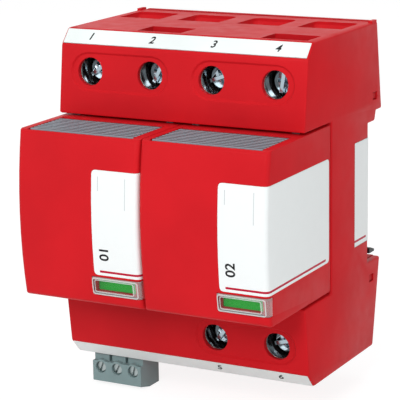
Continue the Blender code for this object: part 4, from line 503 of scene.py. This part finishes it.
for side in ("left", "right"):
    low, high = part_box("latch_spring_" + side)
    sizes = {"Place": ((low.x + high.x) / 2, (low.y + high.y) / 2, low.z + WIRE_RADIUS),
             "Coil Radius": (high.y - low.y) / 2 - WIRE_RADIUS, "Wire Radius": WIRE_RADIUS,
             "Turns": COIL_TURNS, "Length": high.z - low.z - 2 * WIRE_RADIUS, "Finish": spring_steel}
    made = run_tree(tree, f"latch_coil_{side}", "base", sizes)
    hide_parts("latch_spring_" + side)
print("spring faces:", len(made.data.polygons))

# %% [markdown]
# ## Printed labels
# Each module wears a white film that wraps its front corner, with a thin red line near its foot and
# two hairlines at its head. Ink has no height worth modelling, so the print is part of the finish:
# Math nodes compare the Object coordinates, centred on the module, with the edges of each mark.

# %% A finish for a printed film
LABEL_WHITE = (0.88, 0.92, 0.92, 1.0)
INK_RED = (0.48, 0.005, 0.035, 1.0)
INK_GREY = (0.55, 0.58, 0.6, 1.0)


def printed_film(name, centre, marks):
    """White film with rectangular marks: (ink, x range, y limit, z range) in mm from the centre."""
    material = bpy.data.materials.new(name)
    material.use_nodes = True
    tree = material.node_tree
    shader = tree.nodes["Principled BSDF"]
    place = add_node(tree, "ShaderNodeTexCoord").outputs["Object"]
    centred = add_node(tree, "ShaderNodeMapping", {"Vector": place, "Location": (-centre * MM, 0, 0)})
    axes = add_node(tree, "ShaderNodeSeparateXYZ", {0: centred.outputs[0]})
    fibre = add_node(tree, "ShaderNodeTexNoise", {"Vector": place, "Scale": 400.0, "Detail": 4.0})
    paper = add_node(tree, "ShaderNodeValToRGB", {"Fac": fibre.outputs["Fac"]})
    paper.color_ramp.elements[0].color = [c * 0.97 for c in LABEL_WHITE[:3]] + [1.0]
    paper.color_ramp.elements[1].color = LABEL_WHITE
    colour = paper.outputs["Color"]
    for ink, (left, right), rear, (low, high) in marks:
        across = maths(tree, "COMPARE", axes.outputs[0], (left + right) / 2 * MM, (right - left) / 2 * MM)
        up = maths(tree, "COMPARE", axes.outputs[2], (low + high) / 2 * MM, (high - low) / 2 * MM)
        front = maths(tree, "LESS_THAN", axes.outputs[1], rear * MM)
        inside = maths(tree, "MULTIPLY", maths(tree, "MULTIPLY", across, up), front)
        mixed = add_node(tree, "ShaderNodeMix", {0: inside, 6: colour, 7: ink}, data_type="RGBA")
        colour = mixed.outputs[2]
    ripple = add_node(tree, "ShaderNodeBump", {"Strength": 0.15, "Distance": 0.01 * MM,
                      "Height": fibre.outputs["Fac"]})
    tree.links.new(colour, shader.inputs["Base Color"])
    tree.links.new(ripple.outputs["Normal"], shader.inputs["Normal"])
    shader.inputs["Roughness"].default_value = 0.34
    shader.inputs["IOR"].default_value = 1.25
    return material


# The films close the gap, in mm, that the solids keep round them. Between the modules there is no
# room, so only the right film stands proud of its side
FILM_GAP = 0.27
OPEN_SIDE_PROUD = 0.04
MODULE_MARKS = [
    (INK_RED, (6.2, 20.0), -28.0, (-13.1, -12.5)),
    (INK_GREY, (6.3, 6.5), -58.0, (8.3, 12.0)),
    (INK_GREY, (14.2, 14.4), -58.0, (4.0, 12.0)),
]
SIDE_MARKS = [(INK_RED, (30.0, 40.0), -2.0, (-12.7, -12.1))]
for side, centre in MODULE_CENTRE.items():
    film = printed_film("printed film " + side, centre, MODULE_MARKS)
    proud = OPEN_SIDE_PROUD if side == "b" else 0
    tidy_copy("module_label_" + side, "module_" + side, film, (FILM_GAP - SEAT_SHIFT, 0, FILM_GAP),
              (proud, FILM_GAP, FILM_GAP))
side_film = printed_film("printed side film", 0.0, SIDE_MARKS)
tidy_copy("side_label", "base", side_film, (0, FILM_GAP, FILM_GAP), (0, FILM_GAP, FILM_GAP))
print("labels printed")

# %% [markdown]
# ## Clear status windows
# A clear polycarbonate cap lets the green flag show. Real glass in a path tracer keeps light from
# what lies behind it, so the finish is thin clear plastic: it lets light straight through, and
# only its Fresnel reflection and a faint haze show that it is there. The haze is stronger on the
# border, beyond the flag. The back of each face stays clear, or the Fresnel node would call it a
# mirror at a slant.

# %% A finish for clear plastic
# The flag's field in mm, x from the middle of a module and z, and the step from module to module
WINDOW_FIELD = ((4.0, 15.6), (-18.1, -15.2))
MODULE_PITCH = 36.0


def beyond_field(tree, place):
    """1 on the window's border and 0 over the flag; the modules stand a pitch apart, so x repeats."""
    split = add_node(tree, "ShaderNodeSeparateXYZ", {"Vector": place})
    across = maths(tree, "ADD", split.outputs["X"], MODULE_PITCH / 2 * MM)
    across = maths(tree, "FLOORED_MODULO", across, MODULE_PITCH * MM)
    past = []
    for value, (low, high) in zip((across, split.outputs["Z"]), WINDOW_FIELD):
        from_middle = maths(tree, "ABSOLUTE", maths(tree, "SUBTRACT", value, (low + high) / 2 * MM))
        past.append(maths(tree, "SUBTRACT", from_middle, (high - low) / 2 * MM))
    return maths(tree, "GREATER_THAN", maths(tree, "MAXIMUM", *past), 0.0)


def clear_plastic(name, haze, haze_gloss=0.04, border=0.0):
    """Thin clear plastic: mostly transparent, with gloss and a little milky haze, more on its border."""
    material = bpy.data.materials.new(name)
    material.use_nodes = True
    tree = material.node_tree
    shader = tree.nodes["Principled BSDF"]
    place = add_node(tree, "ShaderNodeTexCoord").outputs["Object"]
    swirl = add_node(tree, "ShaderNodeTexNoise", {"Vector": place, "Scale": 500.0, "Detail": 2.0})
    cloud = add_node(tree, "ShaderNodeMapRange", {"Value": swirl.outputs["Fac"],
                     "To Min": haze_gloss, "To Max": haze_gloss + 0.06})
    tree.links.new(cloud.outputs["Result"], shader.inputs["Roughness"])
    rounding = add_node(tree, "ShaderNodeBevel", {"Radius": 0.25 * MM}, samples=6)
    tree.links.new(rounding.outputs["Normal"], shader.inputs["Normal"])
    shader.inputs["Base Color"].default_value = (0.8, 0.84, 0.84, 1.0)
    through = add_node(tree, "ShaderNodeBsdfTransparent", {"Color": (0.96, 0.98, 0.97, 1.0)})
    rim = add_node(tree, "ShaderNodeFresnel", {"IOR": 1.45})
    outside = maths(tree, "SUBTRACT", 1.0, add_node(tree, "ShaderNodeNewGeometry").outputs["Backfacing"])
    milky = maths(tree, "ADD", maths(tree, "MULTIPLY", beyond_field(tree, place), border), haze)
    share = maths(tree, "MULTIPLY", maths(tree, "ADD", rim.outputs[0], milky), outside)
    mix = add_node(tree, "ShaderNodeMixShader", {0: share, 1: through.outputs[0], 2: shader.outputs[0]})
    tree.links.new(mix.outputs[0], tree.nodes["Material Output"].inputs["Surface"])
    return material


window_clear = clear_plastic("clear window plastic", 0.0, border=0.22)
window_edge = clear_plastic("clear window edge", 0.6, haze_gloss=0.25)
WINDOW_GROWTH = 0.1
FACING = 0.7
for side in "ab":
    window = tidy_copy("status_window_" + side, "module_" + side, window_clear,
                       (WINDOW_GROWTH - SEAT_SHIFT, 0, WINDOW_GROWTH), (0, WINDOW_GROWTH, WINDOW_GROWTH))
    window.data.materials.append(window_edge)
    for face in window.data.polygons:
        if abs(face.normal.z) > FACING or face.normal.x < -FACING:
            face.material_index = 1
print("windows glazed")

# %% [markdown]
# ## Rims of the windows
# The moulded cap has a raised rim and an inner step, and both catch the light as pale lines. The
# tree draws a filleted rectangle, casts its points on the window's own surface with a Raycast node,
# and sweeps a round bead along them, so the rim follows the bulge of the front.

# %% The rim tree, run on each window
RIM_SIZES = {"Middle": tuple, "Width": float, "Height": float, "Round": float, "Bead": float,
             "Finish": bpy.types.Material}
RAY_LENGTH = 20 * MM


def rim_tree():
    """A bead on a closed rectangle that lies on the surface of the geometry it is run on."""
    tree, size = new_tree("surface rim", RIM_SIZES)
    socket = tree.interface.new_socket(name="Surface", in_out="INPUT", socket_type="NodeSocketObject")
    surface = add_node(tree, "GeometryNodeObjectInfo", {"Object": size[socket.name]}).outputs["Geometry"]
    outline = add_node(tree, "GeometryNodeCurvePrimitiveQuadrilateral",
                       {"Width": size["Width"], "Height": size["Height"]})
    soft = add_node(tree, "GeometryNodeFilletCurve",
                    {"Curve": outline.outputs[0], "Radius": size["Round"], "Count": 4}, mode="POLY")
    upright = add_node(tree, "GeometryNodeTransform", {"Geometry": soft.outputs[0],
                       "Rotation": (math.pi / 2, 0.0, 0.0), "Translation": size["Middle"]})
    points = add_node(tree, "GeometryNodeResampleCurve", {"Curve": upright.outputs[0], "Count": 160})
    cast = add_node(tree, "GeometryNodeRaycast", {"Target Geometry": surface,
                    "Ray Direction": (0.0, 1.0, 0.0), "Ray Length": RAY_LENGTH})
    laid = add_node(tree, "GeometryNodeSetPosition", {"Geometry": points.outputs[0],
                    "Selection": cast.outputs["Is Hit"], "Position": cast.outputs["Hit Position"]})
    circle = add_node(tree, "GeometryNodeCurvePrimitiveCircle", {"Resolution": 8, "Radius": size["Bead"]})
    bead = add_node(tree, "GeometryNodeCurveToMesh", {"Curve": laid.outputs[0],
                    "Profile Curve": circle.outputs[0]})
    close_tree(tree, bead.outputs[0], size["Finish"])
    return tree


rims = rim_tree()
# Name, x range and z range in mm from the middle of a module, and the radius of the bead
WINDOW_RIMS = (("outer", (3.95, 17.0), (-19.0, -14.75), 0.16), ("inner", (4.6, 15.9), (-18.4, -15.2), 0.11))
RIM_START, RIM_ROUND = -65.0, 0.5
for side, centre in MODULE_CENTRE.items():
    shell = bpy.data.objects[f"status_window_{side}_shell"]
    for name, (left, right), (low, high), bead in WINDOW_RIMS:
        middle = ((centre + (left + right) / 2) * MM, RIM_START * MM, (low + high) / 2 * MM)
        sizes = {"Middle": middle, "Width": (right - left) * MM, "Height": (high - low) * MM,
                 "Round": RIM_ROUND * MM, "Bead": bead * MM, "Finish": window_edge, "Surface": shell}
        made = run_tree(rims, f"window_rim_{name}_{side}", "module_" + side, sizes)
print("rim faces:", len(made.data.polygons))

# %% [markdown]
# ## Plain numbers
# The strips number the six terminals and the labels number the two modules, in plain figures. A
# text curve becomes a mesh, is set before the surface that carries it, and each of its points is
# then cast on that surface with a ray, so that it lies on it like ink, a few hundredths proud.

# %% Print a figure on a surface
INK_PROUD = 0.03 * MM
RAY_START = 5 * MM
# A figure's height as a share of the font's size, and how much bolder its strokes get
FIGURE_SHARE = 0.7
STROKE_GAIN = 0.03
ink_black = moulded_plastic("black printing ink", (0.02, 0.02, 0.022), 0.5, grain=0.05)


def print_figure(text, body, carrier, place, facing, height, across=(1, 0, 0), slant=0.0):
    """A figure as a thin mesh on the carrier; facing is where it looks, across is how it reads."""
    curve = bpy.data.curves.new("figure", "FONT")
    curve.body = text
    curve.size = height * MM / FIGURE_SHARE
    curve.align_x = curve.align_y = "CENTER"
    curve.shear = slant
    curve.offset = STROKE_GAIN * height * MM
    letter = bpy.data.objects.new("figure", curve)
    bpy.context.scene.collection.objects.link(letter)
    bpy.context.view_layer.update()
    mesh = bpy.data.meshes.new_from_object(letter.evaluated_get(bpy.context.evaluated_depsgraph_get()))
    bpy.data.objects.remove(letter)
    mesh.materials.clear()
    mesh.materials.append(ink_black)
    facing = Vector(facing).normalized()
    across = Vector(across)
    turn = Matrix((across, facing.cross(across), facing)).transposed()
    work = bmesh.new()
    work.from_mesh(carrier.data)
    surface = BVHTree.FromBMesh(work)
    for point in mesh.vertices:
        flat = Vector(place) * MM + turn @ point.co
        hit = surface.ray_cast(flat + facing * RAY_START, -facing)[0]
        point.co = (hit or flat) + facing * INK_PROUD
    work.free()
    piece = bpy.data.objects.new(f"figure_{text}_{body}_{carrier.name}", mesh)
    bpy.context.scene.collection.objects.link(piece)
    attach(piece, body)
    return piece


STRIP_FIGURES = {"upper": ((-27.7, "1"), (-9.3, "2"), (8.7, "3"), (26.9, "4")),
                 "lower": ((9.0, "5"), (27.0, "6"))}
STRIP_DEPTH, STRIP_RISE, STRIP_FIGURE_HEIGHT, STRIP_SLANT = -36.6, 42.8, 2.1, 0.25
LABEL_FIGURES = {"a": "01", "b": "02"}
LABEL_RIGHT, LABEL_DEPTH, LABEL_RISE, LABEL_FIGURE_HEIGHT = 7.9, -62.0, -8.0, 2.6
for end, figures in STRIP_FIGURES.items():
    carrier = bpy.data.objects[end + "_marking_strip_shell"]
    up = 1 if end == "upper" else -1
    for x, text in figures:
        place = (x, STRIP_DEPTH, STRIP_RISE * up)
        print_figure(text, "base", carrier, place, (0, -1, up), STRIP_FIGURE_HEIGHT, slant=STRIP_SLANT)
for side, text in LABEL_FIGURES.items():
    carrier = bpy.data.objects[f"module_label_{side}_shell"]
    place = (MODULE_CENTRE[side] + LABEL_RIGHT, LABEL_DEPTH, LABEL_RISE)
    made = print_figure(text, "module_" + side, carrier, place, (0, -1, 0), LABEL_FIGURE_HEIGHT,
                        across=(0, 0, 1))
print("figures printed; the last has", len(made.data.polygons), "faces")

# %% [markdown]
# ## Metal and small parts that keep their CAD shape
# Cages, clamps, busbars, contacts, blades and latches are right as they come. They only need a
# finish, which replaces the plain material that the CAD file brought.

# %% Give the remaining nodes their finish
def finish_node(node, material):
    """Puts one material on a CAD node."""
    mesh = nodes[node].data
    mesh.materials.clear()
    mesh.materials.append(material)


for number in range(1, 7):
    finish_node(f"terminal_cage_{number}", zinc_steel)
for number in range(1, 4):
    finish_node(f"plug_clamp_{number}", zinc_steel)
for node in ("line_busbar", "neutral_busbar", "earth_busbar", "line_contact", "neutral_contact",
             "left_earth_contact", "right_earth_contact"):
    finish_node(node, tinned_copper)
for side in "ab":
    finish_node("upper_blade_" + side, tinned_copper)
    finish_node("lower_blade_" + side, tinned_copper)
    finish_node("spark_gap_" + side, capsule_steel)
for side in ("left", "right"):
    finish_node("rail_latch_" + side, black_foot)
finish_node("signal_switch", black_foot)
finish_node("signal_slider", key_grey)
finish_node("signal_header", plug_grey)
print("nodes finished")

# %% [markdown]
# ## Floor
# The photograph is a packshot on white. The floor is plain white and keeps the object's shadow. Its
# own light for camera, glossy and transmission rays lifts it to paper white without adding light to
# the object.

# %% A pale floor under the lowest point
REACH = 3.0
FLOOR_HEIGHT = cad_low.z - 0.05 * MM
# Where the floor is seen, its own light does the most, so its grey is darker there
FLOOR_GLOW = 0.87
FLOOR_GREY, FLOOR_GREY_SEEN = 0.85, 0.24


def seen_rays(tree):
    """1 for the rays that show the background: from the camera, a reflection or through clear plastic."""
    path = add_node(tree, "ShaderNodeLightPath").outputs
    direct = maths(tree, "MAXIMUM", path["Is Camera Ray"], path["Is Glossy Ray"])
    return maths(tree, "MAXIMUM", direct, path["Is Transmission Ray"])


floor_mesh = bpy.data.meshes.new("floor")
corners = [(-REACH, -REACH, FLOOR_HEIGHT), (REACH, -REACH, FLOOR_HEIGHT),
           (REACH, REACH, FLOOR_HEIGHT), (-REACH, REACH, FLOOR_HEIGHT)]
floor_mesh.from_pydata(corners, [], [(0, 1, 2, 3)])
floor = bpy.data.objects.new("floor", floor_mesh)
bpy.context.scene.collection.objects.link(floor)
paper = bpy.data.materials.new("white paper floor")
paper.use_nodes = True
tree = paper.node_tree
seen = seen_rays(tree)
glow = add_node(tree, "ShaderNodeEmission", {"Color": (1, 1, 1, 1),
                "Strength": maths(tree, "MULTIPLY", seen, FLOOR_GLOW)})
shade = add_node(tree, "ShaderNodeMapRange", {"Value": seen, "To Min": FLOOR_GREY,
                 "To Max": FLOOR_GREY_SEEN})
matt = add_node(tree, "ShaderNodeBsdfDiffuse", {"Color": shade.outputs["Result"]})
both = add_node(tree, "ShaderNodeAddShader", {0: glow.outputs[0], 1: matt.outputs[0]})
tree.links.new(both.outputs[0], tree.nodes["Material Output"].inputs["Surface"])
floor_mesh.materials.append(paper)
floor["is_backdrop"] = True
print("floor at", round(FLOOR_HEIGHT / MM, 2), "mm")

# %% [markdown]
# ## World
# The world gives a weak, even light from all sides, as the white walls of a studio do. For the rays
# that show the background it is plain white.

# %% A white world
AMBIENT = 0.4
world = bpy.data.worlds.new("white studio")
bpy.context.scene.world = world
world.use_nodes = True
tree = world.node_tree
strength = add_node(tree, "ShaderNodeMapRange", {"Value": seen_rays(tree), "To Min": AMBIENT,
                    "To Max": 1.0})
background = tree.nodes["Background"]
background.inputs["Color"].default_value = (1, 1, 1, 1)
tree.links.new(strength.outputs["Result"], background.inputs["Strength"])
print("world strength:", AMBIENT)

# %% [markdown]
# ## Soft lamps
# In the photograph each screw well gleams low on its left, where its wall shows the screw's bright
# face, so the main light stood high in front, a little left of the camera. A broad soft box there
# makes the fronts brightest and the sides a little duller. Weaker ones beside and above fill the
# shade that the modules throw on the lower block.

# %% Four soft boxes
LAMP_TARGET = (0.0, -0.02, 0.0)
# Place in metres, power in watts and side in metres
SOFT_BOXES = {
    "front box": ((0.1, -0.82, 0.5), 4.1, 0.4),
    "left box": ((-0.6, -0.7, 0.25), 0.8, 0.5),
    "right box": ((0.8, -0.35, 0.25), 1.45, 0.5),
    "top box": ((-0.1, 0.1, 0.9), 1.8, 0.6),
}


def soft_box(name, place, power, size):
    """A square area lamp that looks at the object."""
    light = bpy.data.lights.new(name, "AREA")
    light.energy = power
    light.size = size
    lamp = bpy.data.objects.new(name, light)
    lamp.location = place
    lamp.rotation_euler = (Vector(LAMP_TARGET) - Vector(place)).to_track_quat("-Z", "Y").to_euler()
    bpy.context.scene.collection.objects.link(lamp)


for name, (place, power, size) in SOFT_BOXES.items():
    soft_box(name, place, power, size)
print("lamps placed:", len(SOFT_BOXES))

# %% [markdown]
# ## Camera
# The camera stands where the photographer's did: 28 degrees to the right, 13 above, half a metre
# away with a long lens, and turned by one degree. Its axes are written out, so nothing depends on
# the order in which rotations are applied.

# %% Place the camera
AZIMUTH, ELEVATION, ROLL = math.radians(28.34), math.radians(13.41), math.radians(-0.95)
LOOKS_AT = Vector((-5.92, -18.4, -3.0)) * MM
DISTANCE = 499.17 * MM
LENS, SENSOR = 164.97, 36.0
back = Vector((math.sin(AZIMUTH) * math.cos(ELEVATION), -math.cos(AZIMUTH) * math.cos(ELEVATION),
               math.sin(ELEVATION)))
right = Vector((math.cos(AZIMUTH), math.sin(AZIMUTH), 0.0))
up = back.cross(right)
turned_right = right * math.cos(ROLL) + up * math.sin(ROLL)
turned_up = up * math.cos(ROLL) - right * math.sin(ROLL)
eye = LOOKS_AT + back * DISTANCE
camera_data = bpy.data.cameras.new("camera")
camera_data.lens = LENS
camera_data.sensor_width = SENSOR
camera_data.clip_start = 0.01
camera = bpy.data.objects.new("camera", camera_data)
turn = Matrix((turned_right, turned_up, back)).transposed()
camera.matrix_world = Matrix.Translation(eye) @ turn.to_4x4()
bpy.context.scene.collection.objects.link(camera)
bpy.context.scene.camera = camera
bpy.context.scene.view_settings.view_transform = "Standard"
print("camera at", [round(v / MM, 1) for v in eye], "mm")

# %% [markdown]
# ## Size
# The box of all that renders is written here, and the CAD box at the start, so that anyone can compare them
# and see whether dressing the model has made it bigger.

# %% Write the visual box
low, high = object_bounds()
print("visual box in mm:", [round(v / MM, 2) for v in high - low])
